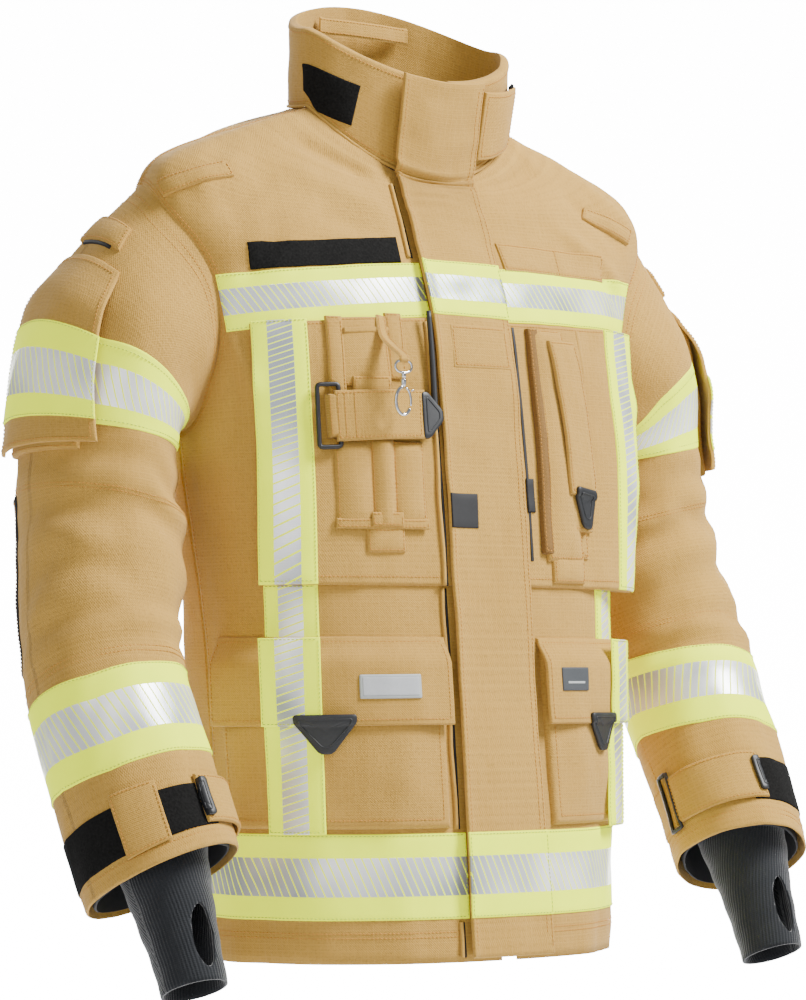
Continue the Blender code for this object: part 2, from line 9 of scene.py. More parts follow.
import bmesh
import bpy
import numpy as np
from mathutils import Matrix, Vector

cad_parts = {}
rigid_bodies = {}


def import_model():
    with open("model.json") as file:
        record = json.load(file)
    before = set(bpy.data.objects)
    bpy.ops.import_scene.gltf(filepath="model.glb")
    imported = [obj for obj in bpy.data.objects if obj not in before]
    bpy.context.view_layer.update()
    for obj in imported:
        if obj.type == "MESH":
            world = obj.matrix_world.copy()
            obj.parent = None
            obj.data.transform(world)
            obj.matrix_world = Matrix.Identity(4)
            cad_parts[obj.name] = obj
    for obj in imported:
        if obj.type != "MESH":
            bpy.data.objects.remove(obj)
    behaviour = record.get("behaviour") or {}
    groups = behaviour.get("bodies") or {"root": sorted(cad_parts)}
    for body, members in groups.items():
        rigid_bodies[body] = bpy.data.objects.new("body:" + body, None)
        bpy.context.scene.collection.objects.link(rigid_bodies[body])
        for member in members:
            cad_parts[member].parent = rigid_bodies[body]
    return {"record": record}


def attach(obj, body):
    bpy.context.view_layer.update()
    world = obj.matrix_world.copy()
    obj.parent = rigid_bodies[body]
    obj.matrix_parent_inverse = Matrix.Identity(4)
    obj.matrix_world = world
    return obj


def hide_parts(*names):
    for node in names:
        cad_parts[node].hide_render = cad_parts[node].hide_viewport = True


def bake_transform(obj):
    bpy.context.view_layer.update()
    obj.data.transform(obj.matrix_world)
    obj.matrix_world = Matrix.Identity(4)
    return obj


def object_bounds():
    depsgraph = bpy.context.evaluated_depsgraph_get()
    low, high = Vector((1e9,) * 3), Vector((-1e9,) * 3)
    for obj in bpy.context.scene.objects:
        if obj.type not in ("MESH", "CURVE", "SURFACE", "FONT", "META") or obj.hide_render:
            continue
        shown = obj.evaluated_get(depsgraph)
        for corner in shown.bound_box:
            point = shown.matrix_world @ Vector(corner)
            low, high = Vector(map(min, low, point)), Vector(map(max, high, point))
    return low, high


for item in list(bpy.data.objects):
    bpy.data.objects.remove(item)
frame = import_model()
CAD_LOW, CAD_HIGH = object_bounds()

MM = 0.001
HANG_POINT = np.array([0.0, 0.069, 0.838])

# ---------------------------------------------------------------- shape charts

RINGS = np.array([
    [0.000, 0.198, 0.000, 0.152, 0.000, 0.135, 2.2],
    [0.145, 0.200, 0.145, 0.139, 0.145, 0.135, 2.3],
    [0.300, 0.205, 0.300, 0.124, 0.300, 0.135, 2.4],
    [0.410, 0.216, 0.410, 0.113, 0.410, 0.135, 2.5],
    [0.475, 0.223, 0.480, 0.104, 0.480, 0.135, 2.5],
    [0.530, 0.230, 0.540, 0.095, 0.540, 0.133, 2.5],
    [0.590, 0.244, 0.590, 0.081, 0.600, 0.130, 2.5],
    [0.645, 0.266, 0.632, 0.064, 0.655, 0.124, 2.5],
    [0.688, 0.254, 0.656, 0.054, 0.700, 0.116, 2.4],
    [0.716, 0.196, 0.671, 0.048, 0.733, 0.108, 2.3],
    [0.735, 0.145, 0.680, 0.044, 0.752, 0.100, 2.2],
    [0.747, 0.106, 0.686, 0.042, 0.766, 0.093, 2.0],
])
COLLAR_RINGS = np.array([
    [0.107, 0.043, 0.094, 0.689, 0.750, 0.769],
    [0.110, 0.052, 0.087, 0.733, 0.785, 0.817],
    [0.112, 0.060, 0.079, 0.776, 0.821, 0.862],
])
SLEEVE_RINGS = np.array([
    [0.2740, 0.668, 0.2315, 0.462, 0.033, 0.081],
    [0.3230, 0.604, 0.2335, 0.458, 0.036, 0.082],
    [0.3480, 0.530, 0.2350, 0.452, 0.040, 0.080],
    [0.3580, 0.460, 0.2350, 0.436, 0.041, 0.077],
    [0.3650, 0.410, 0.2345, 0.392, 0.036, 0.074],
    [0.3730, 0.360, 0.2345, 0.342, 0.026, 0.071],
    [0.3830, 0.297, 0.2490, 0.283, 0.008, 0.068],
    [0.3890, 0.232, 0.2590, 0.228, -0.018, 0.065],
    [0.3890, 0.150, 0.2610, 0.158, -0.058, 0.064],
    [0.3830, 0.064, 0.2600, 0.088, -0.098, 0.066],
])


def smooth_rows(table, v):
    v = np.clip(np.asarray(v, float), 0, len(table) - 1)
    i = np.minimum(v.astype(int), len(table) - 2)
    f = (v - i)[..., None]
    p1 = table[i]
    p2 = table[i + 1]
    p0 = np.where((i > 0)[..., None], table[np.maximum(i - 1, 0)], 2 * p1 - p2)
    p3 = np.where((i < len(table) - 2)[..., None], table[np.minimum(i + 2, len(table) - 1)], 2 * p2 - p1)
    square = (2 * p0 - 5 * p1 + 4 * p2 - p3) * f**2
    cube = (3 * p1 - p0 - 3 * p2 + p3) * f**3
    return 0.5 * (2 * p1 + (p2 - p0) * f + square + cube)


def smoothstep(x):
    x = np.clip(x, 0.0, 1.0)
    return x * x * (3 - 2 * x)


def hashed(i, j, seed):
    n = np.sin(i * 127.1 + j * 311.7 + seed * 74.7) * 43758.5453
    return n - np.floor(n)


def noise(x, y, seed=0):
    """Smooth value noise, from -1 to 1."""
    i = np.floor(x)
    j = np.floor(y)
    fx = smoothstep(x - i)
    fy = smoothstep(y - j)
    low = hashed(i, j, seed) * (1 - fx) + hashed(i + 1, j, seed) * fx
    high = hashed(i, j + 1, seed) * (1 - fx) + hashed(i + 1, j + 1, seed) * fx
    return (low * (1 - fy) + high * fy) * 2 - 1


def crease(x, z, x0, z0, x1, z1, width, height):
    """A fold along a line from one point to another on the flat, fading at both ends."""
    dx, dz = x1 - x0, z1 - z0
    length = math.hypot(dx, dz)
    along = ((x - x0) * dx + (z - z0) * dz) / length**2
    across = ((x - x0) * dz - (z - z0) * dx) / length
    fade = smoothstep(along / 0.25) * smoothstep((1 - along) / 0.35)
    return height * np.exp(-((across / width) ** 2)) * fade


class Skin:
    """A surface held as a table of points. at(u, v, off) gives points on it, moved out by off."""

    def finish_table(self, points):
        self.points = points
        across = np.gradient(points, axis=1)
        up = np.gradient(points, axis=0)
        normal = np.cross(across, up)
        normal /= np.maximum(np.linalg.norm(normal, axis=2), 1e-12)[..., None]
        self.normals = normal

    def sample(self, table, r, c):
        r = np.clip(r, 0, table.shape[0] - 1.001)
        c = np.clip(c, 0, table.shape[1] - 1.001)
        i = r.astype(int)
        j = c.astype(int)
        fr = (r - i)[..., None]
        fc = (c - j)[..., None]
        low = table[i, j] * (1 - fc) + table[i, j + 1] * fc
        high = table[i + 1, j] * (1 - fc) + table[i + 1, j + 1] * fc
        return low * (1 - fr) + high * fr


class Torso(Skin):
    """u is the arc length from the front centre, positive to the wearer's left; v is the ring number."""

    def __init__(self, table, kind):
        self.kind = kind
        self.rings = table
        self.step = 0.02
        self.levels = np.arange(0, len(table) - 1 + 1e-9, self.step)
        angle = np.linspace(0, math.pi, 481)
        rows = []
        self.length = []
        self.side_length = []
        fractions = np.linspace(0, 1, 321)
        for v in self.levels:
            row = smooth_rows(table, v)
            if kind == "torso":
                z_side, half, z_front, front, z_back, back, power = row
            else:
                half, front, back, z_front, z_side, z_back = row
                power = 2.0
            sine, cosine = np.sin(angle), np.cos(angle)
            x = half * np.sign(sine) * np.abs(sine) ** (2 / power)
            along = np.sign(cosine) * np.abs(cosine) ** (2 / power)
            y = -np.where(cosine > 0, front, back) * along
            z = z_side + (np.where(cosine > 0, z_front, z_back) - z_side) * np.abs(along) ** 1.5
            ring = np.stack([x, y, z], -1)
            steps = np.linalg.norm(np.diff(ring, axis=0), axis=1)
            length = np.concatenate([[0.0], np.cumsum(steps)])
            self.length.append(length[-1])
            self.side_length.append(length[240])
            rows.append(np.stack([np.interp(fractions * length[-1], length, ring[:, k]) for k in range(3)], -1))
        self.length = np.array(self.length)
        self.side_length = np.array(self.side_length)
        self.finish_table(np.array(rows))
        self.fractions = fractions

    def total(self, v):
        return np.interp(v, self.levels, self.length)

    def side(self, v):
        return np.interp(v, self.levels, self.side_length)

    def level(self, z, column=2):
        return float(np.interp(z, smooth_rows(self.rings, self.levels)[:, column], self.levels))

    def level_at(self, u, z):
        """The ring number at which the point at this arc length is at height z."""
        places = np.clip(abs(u) / self.length, 0, 1) * (len(self.fractions) - 1)
        index = np.minimum(places.astype(int), len(self.fractions) - 2)
        share = places - index
        rows = np.arange(len(self.levels))
        heights = self.points[rows, index, 2] * (1 - share) + self.points[rows, index + 1, 2] * share
        return float(np.interp(z, np.maximum.accumulate(heights), self.levels))

    def raw(self, u, v):
        u, v = np.broadcast_arrays(np.asarray(u, float), np.asarray(v, float))
        total = self.total(v)
        u = np.where(u > total, u - 2 * total, u)
        u = np.where(u < -total, u + 2 * total, u)
        r = v / self.step
        c = np.abs(u) / total * (len(self.fractions) - 1)
        p = self.sample(self.points, r, c)
        n = self.sample(self.normals, r, c)
        flip = np.where(u < 0, -1.0, 1.0)
        p = p * np.stack([flip, np.ones_like(flip), np.ones_like(flip)], -1)
        n = n * np.stack([flip, np.ones_like(flip), np.ones_like(flip)], -1)
        return p, n / np.linalg.norm(n, axis=-1)[..., None], u

    def folds(self, p, u):
        x, y, z = p[..., 0], p[..., 1], p[..., 2]
        if self.kind != "torso":
            soft = 0.8 * noise(u / 0.03, z / 0.05, 3) + 0.5 * noise(u / 0.014, z / 0.02, 4)
            soft = soft + crease(u, z, -0.15, 0.745, -0.07, 0.800, 0.008, -1.2)
            return soft * MM
        front = smoothstep((0.02 - y) / 0.05)
        drape = 2.6 * noise(u / 0.075, z / 0.20, 11) + 1.5 * noise(u / 0.035, z / 0.065, 12)
        drape = drape * (0.55 + 0.45 * smoothstep((0.60 - z) / 0.3))
        drape = drape * smoothstep((np.abs(u) - 0.02) / 0.05)
        small = 0.55 * noise(u / 0.014, z / 0.020, 13)
        out = drape + small
        a = np.abs(u)
        # Pulls that run from the armholes and the neck.
        for x0, z0, x1, z1, width, height in (
            (0.228, 0.600, 0.120, 0.662, 0.0085, 4.2), (0.236, 0.636, 0.150, 0.694, 0.0095, -3.6),
            (0.222, 0.575, 0.165, 0.640, 0.007, -3.2),
            (0.235, 0.548, 0.205, 0.470, 0.008, 3.2), (0.226, 0.520, 0.235, 0.430, 0.007, -2.8),
            (0.258, 0.655, 0.190, 0.705, 0.009, 3.0),
        ):
            out = out + front * crease(a, z, x0, z0, x1, z1, width, height)
        out = out + front * crease(-u, z, 0.058, 0.678, 0.165, 0.722, 0.007, -4.5)
        out = out + front * crease(-u, z, 0.052, 0.650, 0.175, 0.692, 0.011, 3.6)
        out = out + front * crease(-u, z, 0.060, 0.628, 0.150, 0.650, 0.009, -2.0)
        out = out + front * crease(u, z, 0.060, 0.680, 0.150, 0.715, 0.008, -3.4)
        out = out + front * crease(u, z, 0.055, 0.650, 0.160, 0.680, 0.010, 2.6)
        # Long soft folds down the lower front and the back.
        for k, (where, height, width) in enumerate(((0.095, 2.4, 0.016), (0.215, -2.6, 0.014), (0.245, 3.0, 0.016))):
            line = where + 0.010 * np.sin(z * 19 + k)
            out = out + height * np.exp(-(((a - line) / width) ** 2)) * smoothstep((0.33 - z) / 0.2)
        for k in range(5):
            line = 0.33 + 0.055 * k + 0.012 * np.sin(z * 11 + 2 * k)
            out = out + 2.6 * (-1) ** k * np.exp(-(((a - line) / 0.02) ** 2)) * smoothstep((0.62 - z) / 0.3)
        return out * MM

    def at(self, u, v, off=0.0):
        p, n, u = self.raw(u, v)
        return p + n * (off + self.folds(p, u))[..., None]


TORSO = Torso(RINGS, "torso")
COLLAR = Torso(COLLAR_RINGS, "collar")


def LV(z):
    return TORSO.level(z)


def armhole_curve():
    """Arc length and ring number of the armhole's edge, by angle from its top over the front."""
    angles = np.radians(np.arange(0, 360, 2.0))
    height = 0.5655 + 0.1035 * np.cos(angles)
    depth = 0.030 - np.where(np.sin(angles) > 0, 0.066, -0.062) * np.abs(np.sin(angles))
    rows, columns = np.nonzero(TORSO.points[..., 0] > 0.15)
    y = TORSO.points[rows, columns, 1]
    z = TORSO.points[rows, columns, 2]
    found = []
    for wanted_y, wanted_z in zip(depth, height):
        k = np.argmin((y - wanted_y) ** 2 + (z - wanted_z) ** 2)
        v = rows[k] * TORSO.step
        found.append((columns[k] / 320 * TORSO.total(v), v))
    found = np.array(found)
    spectrum = np.fft.rfft(found, axis=0)
    spectrum[9:] = 0
    return np.fft.irfft(spectrum, len(found), axis=0)


ARM = armhole_curve()
ARM_V = (ARM[:, 1].min() + 1e-3, ARM[:, 1].max() - 1e-3)


def arm_edge(v, behind):
    """Arc length of the armhole's front or back edge at a ring number."""
    low = int(np.argmin(ARM[:, 1]))
    high = int(np.argmax(ARM[:, 1]))
    if high > low:
        high -= 180
    front = ARM[np.arange(high, low + 1) % 180]
    back = ARM[np.arange(low, high + 181) % 180]
    branch = back if behind else front
    order = np.argsort(branch[:, 1])
    return np.interp(v, branch[order, 1], branch[order, 0])


ARM_LOW = ARM[int(np.argmin(ARM[:, 1]))]
ARM_HIGH = ARM[int(np.argmax(ARM[:, 1]))]


def panel_edge(v, behind):
    """Where a panel ends: the armhole inside its height, and the side and shoulder seams below and above it."""
    v = np.asarray(v, float)
    below = TORSO.side(v) + (ARM_LOW[0] - TORSO.side(ARM_LOW[1])) * smoothstep(v / ARM_LOW[1])
    above = TORSO.side(v) + (ARM_HIGH[0] - TORSO.side(ARM_HIGH[1])) * smoothstep((11 - v) / (11 - ARM_HIGH[1]))
    return np.where(v <= ARM_V[0], below, np.where(v >= ARM_V[1], above, arm_edge(v, behind)))


class Sleeve(Skin):
    """u is the angle in degrees, 0 on the outer side and 90 in front; v is the ring number."""

    def __init__(self, side):
        self.side = side
        self.step = 0.02
        self.levels = np.arange(0, 9 + 1e-9, self.step)
        angle = np.radians(np.arange(0, 361, 2.0))
        rows = []
        for q in self.levels:
            rows.append(self.ring(angle, q))
        points = np.array(rows)
        arm = TORSO.raw(ARM[:, 0], ARM[:, 1])[0]
        arm = np.concatenate([arm, arm[:1]])
        fade = 1 - smoothstep(self.levels / 1.5)
        points = points + (arm - points[0])[None] * fade[:, None, None]
        self.finish_table(points)
        self.normals = -self.normals
        # The seam at angle 0 shares one normal.
        both = self.normals[:, 0] + self.normals[:, -1]
        both /= np.linalg.norm(both, axis=1)[:, None]
        self.normals[:, 0] = self.normals[:, -1] = both
        middle = points.mean(1)
        if ((self.points[200, 0] - middle[200]) @ self.normals[200, 0]) < 0:
            self.normals = -self.normals

    def ring(self, angle, q):
        row = smooth_rows(SLEEVE_RINGS, q)
        outer = np.array([row[0], row[4], row[1]])
        inner = np.array([row[2], row[4], row[3]])
        centre = (outer + inner) / 2
        half = np.linalg.norm(outer - inner) / 2
        outward = (outer - centre) / half
        step = smooth_rows(SLEEVE_RINGS, min(q + 0.1, 9.0)) - smooth_rows(SLEEVE_RINGS, max(q - 0.1, 0.0))
        fall = min(step[1] + step[3], -1e-6) / 2
        forward = np.array([0.0, -1.0, step[4] / fall * min(q / 3, 1.0)])
        forward /= np.linalg.norm(forward)
        reach = half * np.cos(angle)
        fore = row[5] * np.sin(angle)
        return centre + reach[:, None] * outward + fore[:, None] * forward

    def raw(self, u, v):
        u, v = np.broadcast_arrays(np.asarray(u, float), np.asarray(v, float))
        r = v / self.step
        c = np.mod(u, 360.0) / 2.0
        p = self.sample(self.points, r, c)
        n = self.sample(self.normals, r, c)
        n = n / np.linalg.norm(n, axis=-1)[..., None]
        return p, n

    def folds(self, p, u, v):
        seed = 20 if self.side > 0 else 40
        a = np.radians(u)
        ring_x, ring_y = np.cos(a), np.sin(a)
        cloth = 2.6 * noise(ring_x * 1.3 + 7, v * 0.8 + ring_y * 1.3, seed)
        cloth = cloth + 1.6 * noise(ring_x * 3 + 3, v * 2.4 + ring_y * 3, seed + 1)
        cloth = cloth + 0.3 * noise(ring_x * 8 + 3, v * 6 + ring_y * 8, seed + 2)
        # Creases where the elbow bends, strongest on the inner front.
        bend = np.exp(-(((v - 4.9) / 1.3) ** 2)) * smoothstep((ring_y + 0.6) / 1.4)
        cloth = cloth + 3.6 * bend * np.sin(v * 6.3 + 1.6 * ring_x + 0.8 * self.side + 1.5 * noise(ring_x * 2, v,
                                                                                                   seed + 5))
        low = np.exp(-(((v - 6.5) / 0.5) ** 2)) * smoothstep((ring_y + 0.9) / 1.5)
        cloth = cloth + 2.2 * low * np.sin(v * 11 - 2.0 * ring_x)
        # Short pulls below the sleeve head.
        head = np.exp(-(((v - 1.3) / 0.7) ** 2)) * smoothstep(ring_y)
        cloth = cloth + 3.0 * head * np.sin(a * 5 + v * 1.5)
        return cloth * MM * smoothstep(v / 0.5)

    def at(self, u, v, off=0.0):
        u, v = np.broadcast_arrays(np.asarray(u, float), np.asarray(v, float))
        p, n = self.raw(u, v)
        p = p + n * (off + self.folds(p, u, v))[..., None]
        return p * np.array([self.side, 1.0, 1.0])


SLEEVES = {"left": Sleeve(1), "right": Sleeve(-1)}

# ---------------------------------------------------------------- materials


class Graph:
    """A short way to write a material's nodes."""

    def __init__(self, name):
        self.material = bpy.data.materials.new(name)
        self.material.use_nodes = True
        self.tree = self.material.node_tree
        self.principled = self.tree.nodes["Principled BSDF"]

    def link(self, value, socket):
        if isinstance(value, bpy.types.NodeSocket):
            self.tree.links.new(value, socket)
        elif isinstance(value, tuple) and len(value) == 3:
            socket.default_value = (*value, 1.0) if socket.type == "RGBA" else value
        else:
            socket.default_value = value

    def math(self, kind, a, b=0.0, c=0.0):
        node = self.tree.nodes.new("ShaderNodeMath")
        node.operation = kind
        self.link(a, node.inputs[0])
        self.link(b, node.inputs[1])
        self.link(c, node.inputs[2])
        return node.outputs[0]

    def uv(self):
        node = self.tree.nodes.new("ShaderNodeUVMap")
        node.uv_map = "cloth"
        split = self.tree.nodes.new("ShaderNodeSeparateXYZ")
        self.tree.links.new(node.outputs[0], split.inputs[0])
        return node.outputs[0], split.outputs[0], split.outputs[1]

    def place(self):
        return self.tree.nodes.new("ShaderNodeTexCoord").outputs["Object"]

    def noise(self, vector, scale, detail=3.0, rough=0.5):
        node = self.tree.nodes.new("ShaderNodeTexNoise")
        self.link(vector, node.inputs["Vector"])
        node.inputs["Scale"].default_value = scale
        node.inputs["Detail"].default_value = detail
        node.inputs["Roughness"].default_value = rough
        return node.outputs["Fac"]

    def mix(self, share, a, b):
        node = self.tree.nodes.new("ShaderNodeMix")
        node.data_type = "RGBA"
        self.link(share, node.inputs[0])
        self.link(a, node.inputs[6])
        self.link(b, node.inputs[7])
        return node.outputs[2]

    def bump(self, height, strength, distance):
        node = self.tree.nodes.new("ShaderNodeBump")
        node.inputs["Strength"].default_value = strength
        node.inputs["Distance"].default_value = distance
        self.link(height, node.inputs["Height"])
        self.tree.links.new(node.outputs[0], self.principled.inputs["Normal"])

    def set(self, **values):
        for name, value in values.items():
            self.link(value, self.principled.inputs[name.replace("_", " ")])
        return self.material


def lines(g, coordinate, pitch, width):
    """1 on thin lines that repeat, and 0 between them."""
    return g.math("LESS_THAN", g.math("FRACT", g.math("DIVIDE", coordinate, pitch)), width)


def cloth_material(name, colour, light, dark, sheen=0.10):
    g = Graph(name)
    vector, u, v = g.uv()
    weave = g.math("MULTIPLY", g.math("SINE", g.math("MULTIPLY", u, 2 * math.pi / 0.0021)),
                   g.math("SINE", g.math("MULTIPLY", v, 2 * math.pi / 0.0021)))
    rows = g.math("SINE", g.math("MULTIPLY", v, 2 * math.pi / 0.0030))
    grid = g.math("MAXIMUM", lines(g, u, 0.0056, 0.18), lines(g, v, 0.0056, 0.18))
    patch = g.noise(g.place(), 7.0, 5.0, 0.6)
    fine = g.noise(g.place(), 520.0, 3.0, 0.7)
    base = g.mix(patch, dark, light)
    base = g.mix(0.45, base, colour)
    base = g.mix(g.math("MULTIPLY", grid, 0.30), base, light)
    grain = g.math("ADD", g.math("MULTIPLY", g.math("SUBTRACT", fine, 0.5), 2.2), g.math("MULTIPLY", rows, 0.16))
    grain = g.math("MINIMUM", g.math("MAXIMUM", grain, 0.0), 1.0)
    base = g.mix(g.math("MULTIPLY", grain, 0.75), base, tuple(c * 0.55 for c in dark))
    soft = g.tree.nodes.new("ShaderNodeBump")
    soft.inputs["Strength"].default_value = 0.55
    soft.inputs["Distance"].default_value = 0.006
    stretch = g.tree.nodes.new("ShaderNodeMapping")
    g.tree.links.new(g.place(), stretch.inputs["Vector"])
    stretch.inputs["Scale"].default_value = (1.0, 1.0, 0.55)
    g.tree.links.new(g.noise(stretch.outputs[0], 26.0, 3.0, 0.45), soft.inputs["Height"])
    height = g.math("ADD", g.math("MULTIPLY", weave, 0.35), g.math("MULTIPLY", grid, 0.5))
    height = g.math("ADD", height, g.math("MULTIPLY", fine, 1.6))
    fine_bump = g.tree.nodes.new("ShaderNodeBump")
    fine_bump.inputs["Strength"].default_value = 0.7
    fine_bump.inputs["Distance"].default_value = 0.0006
    g.tree.links.new(height, fine_bump.inputs["Height"])
    g.tree.links.new(soft.outputs[0], fine_bump.inputs["Normal"])
    g.tree.links.new(fine_bump.outputs[0], g.principled.inputs["Normal"])
    return g.set(Base_Color=base, Roughness=0.9, Sheen_Weight=sheen, Sheen_Roughness=0.5, Specular_IOR_Level=0.15)


def tape_material(name, pitch, slant, painted_glint_scale):
    g = Graph(name)
    vector, u, v = g.uv()
    off_centre = g.math("SUBTRACT", v, 0.5)
    strip = g.math("LESS_THAN", g.math("ABSOLUTE", off_centre), 0.225)
    slanted = g.math("ADD", u, g.math("MULTIPLY", off_centre, slant))
    gap = lines(g, slanted, pitch, 0.17)
    silver = g.math("MULTIPLY", strip, g.math("SUBTRACT", 1.0, gap))
    # Painted reflection: the silver runs from dark grey to white along stretched noise, glints of light drawn into its
    # colour.
    painted_glint = g.noise(g.place(), painted_glint_scale, 2.0, 0.5)
    painted_glint = g.math("MULTIPLY", g.math("SUBTRACT", painted_glint, 0.36), 3.4)
    painted_glint = g.math("MINIMUM", g.math("MAXIMUM", painted_glint, 0.0), 1.0)
    grey = g.mix(painted_glint, (0.34, 0.37, 0.40), (1.0, 1.0, 1.0))
    yellow = g.mix(g.noise(g.place(), 30.0), (0.66, 0.84, 0.000), (0.82, 0.96, 0.004))
    base = g.mix(silver, yellow, grey)
    knit = g.math("SINE", g.math("MULTIPLY", u, 2 * math.pi / 0.0014))
    g.bump(g.math("ADD", g.math("MULTIPLY", knit, 0.12), g.math("MULTIPLY", strip, 0.9)), 0.35, 0.0003)
    rough = g.math("SUBTRACT", 0.75, g.math("MULTIPLY", silver, 0.40))
    # Painted glow: the yellow emits light of its own, though it is no lamp, to look brighter.
    painted_glow = g.math("MULTIPLY", g.math("SUBTRACT", 1.0, silver), 0.55)
    return g.set(Base_Color=base, Roughness=rough, Metallic=g.math("MULTIPLY", silver, 0.35),
                 Emission_Color=(0.85, 0.95, 0.0), Emission_Strength=painted_glow,
                 Specular_IOR_Level=0.2)


def plain_material(name, colour, roughness, metallic=0.0, speckle=0.0, scale=600.0, bump=0.0, **more):
    g = Graph(name)
    spots = g.noise(g.place(), scale, 3.0, 0.6)
    light = tuple(min(1.0, c * (1 + speckle) + 0.01 * speckle) for c in colour)
    dark = tuple(c * (1 - speckle) for c in colour)
    if bump:
        g.bump(spots, bump, 0.0006)
    return g.set(Base_Color=g.mix(spots, dark, light), Roughness=roughness, Metallic=metallic, **more)


def knit_material():
    g = Graph("knit")
    vector, u, v = g.uv()
    rib = g.math("SINE", g.math("MULTIPLY", u, 2 * math.pi / 0.0030))
    loops = g.math("SINE", g.math("MULTIPLY", v, 2 * math.pi / 0.0016))
    fuzz = g.noise(g.place(), 700.0, 3.0, 0.7)
    base = g.mix(fuzz, (0.0016, 0.0026, 0.0042), (0.0055, 0.0080, 0.0120))
    height = g.math("ADD", g.math("MULTIPLY", rib, 0.5), g.math("ADD", g.math("MULTIPLY", loops, 0.2), fuzz))
    g.bump(height, 0.6, 0.0006)
    return g.set(Base_Color=base, Roughness=0.9, Sheen_Weight=0.35, Sheen_Roughness=0.4)


TAN = cloth_material("tan_cloth", (0.470, 0.270, 0.052), (0.550, 0.325, 0.068), (0.385, 0.208, 0.036))
# A darker copy of the tan cloth: painted shade for the inside of a pocket's side.
TAN_PAINTED_SHADE = cloth_material("tan_painted_shade", (0.20, 0.104, 0.027), (0.23, 0.125, 0.034), (0.16, 0.080, 0.020), 0.05)
TAPE_ACROSS = tape_material("tape_across", 0.0068, 0.027, 9.0)
TAPE_DOWN = tape_material("tape_down", 0.0070, -0.017, 11.0)
TAPE_WIDE = tape_material("tape_wide", 0.0075, 0.030, 9.0)
HOOK = plain_material("hook_and_loop", (0.0035, 0.0033, 0.003), 1.0, speckle=0.95, scale=500.0, bump=1.0,
                      Specular_IOR_Level=0.1)
RUBBER = plain_material("rubber", (0.009, 0.010, 0.012), 0.5, speckle=0.3, scale=300.0, bump=0.1)
PLASTIC = plain_material("black_plastic", (0.007, 0.007, 0.008), 0.4, speckle=0.2)
CHROME = plain_material("chrome", (0.60, 0.61, 0.63), 0.12, metallic=1.0, speckle=0.02)
THREAD = plain_material("thread", (0.50, 0.22, 0.020), 0.6, speckle=0.15)
TAPE_THREAD = plain_material("tape_thread", (0.50, 0.58, 0.03), 0.6, speckle=0.1)
DARK_THREAD = plain_material("dark_thread", (0.35, 0.22, 0.07), 0.6, speckle=0.15)
LABEL = plain_material("label", (0.36, 0.38, 0.37), 0.55, speckle=0.06, scale=400.0, bump=0.1)
LABEL_DARK = plain_material("label_dark", (0.05, 0.055, 0.06), 0.5, speckle=0.1)
LINING = plain_material("lining", (0.010, 0.010, 0.012), 0.8, speckle=0.4, scale=300.0, bump=0.3)
EDGE = plain_material("black_edge", (0.005, 0.005, 0.006), 0.7, speckle=0.3)
KNIT = knit_material()

# ---------------------------------------------------------------- building blocks

HOLD = {}


def finish_mesh(name, points, faces, material, uvs=None):
    points = np.asarray(points, float).reshape(-1, 3) - HANG_POINT
    mesh = bpy.data.meshes.new(name)
    mesh.from_pydata(points.tolist(), [], faces)
    if uvs is not None:
        layer = mesh.uv_layers.new(name="cloth")
        uvs = np.asarray(uvs, float).reshape(-1, 2)
        corners = np.empty(len(mesh.loops), int)
        mesh.loops.foreach_get("vertex_index", corners)
        layer.data.foreach_set("uv", uvs[corners].ravel())
    mesh.polygons.foreach_set("use_smooth", [True] * len(mesh.polygons))
    mesh.materials.append(material)
    mesh.update()
    shape = bmesh.new()
    shape.from_mesh(mesh)
    bmesh.ops.recalc_face_normals(shape, faces=shape.faces)
    if shape.calc_volume(signed=True) < 0:
        bmesh.ops.reverse_faces(shape, faces=shape.faces)
    shape.to_mesh(mesh)
    shape.free()
    obj = bpy.data.objects.new(name, mesh)
    bpy.context.scene.collection.objects.link(obj)
    return obj


def world(point):
    return tuple(float(x) for x in np.asarray(point, float) - HANG_POINT)


def hold(obj, body, slot=None, replaces=()):
    """Rides with its body when the body has no rule; with a rule, its transform is only baked in and nothing bends."""
    rule = HOLD.get(body)
    if rule is None:
        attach(obj, body)
    else:
        parent, child, start, end = rule
        world(start)
        world(end)
        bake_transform(obj)
    if replaces:
        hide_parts(*replaces)
    return obj


def grid_slab(name, outer, inner, uv, material, closed=False):
    rows, columns = outer.shape[:2]
    count = rows * columns
    last = columns if closed else columns - 1
    r, c = np.meshgrid(np.arange(rows - 1), np.arange(last), indexing="ij")
    d = (c + 1) % columns
    top = np.stack([r * columns + c, r * columns + d, (r + 1) * columns + d, (r + 1) * columns + c], -1).reshape(-1,
                                                                                                                 4)
    faces = np.concatenate([top, count + top[:, ::-1]])
    walls = []
    for row in (0, rows - 1):
        for k in range(last):
            m = (k + 1) % columns
            a, b = row * columns + k, row * columns + m
            walls.append([a, b, count + b, count + a] if row else [b, a, count + a, count + b])
    if not closed:
        for column in (0, columns - 1):
            for k in range(rows - 1):
                a, b = k * columns + column, (k + 1) * columns + column
                walls.append([a, b, count + b, count + a] if column == 0 else [b, a, count + a, count + b])
    faces = faces.tolist() + walls
    points = np.concatenate([outer.reshape(-1, 3), inner.reshape(-1, 3)])
    uvs = np.concatenate([uv.reshape(-1, 2), uv.reshape(-1, 2)])
    return finish_mesh(name, points, faces, material, uvs)


def fractions(length, step, edge):
    """Places along a side, close together at its two ends so that the edge can be rounded."""
    if length < 5 * edge:
        edge = length / 5
    inner = max(2, int(round((length - 2 * edge) / step)))
    body = edge + (length - 2 * edge) * np.linspace(0, 1, inner + 1)
    start = np.array([0.0, 0.25, 0.6]) * edge
    return np.concatenate([start, body, length - start[::-1]]) / length


STITCHES = {}


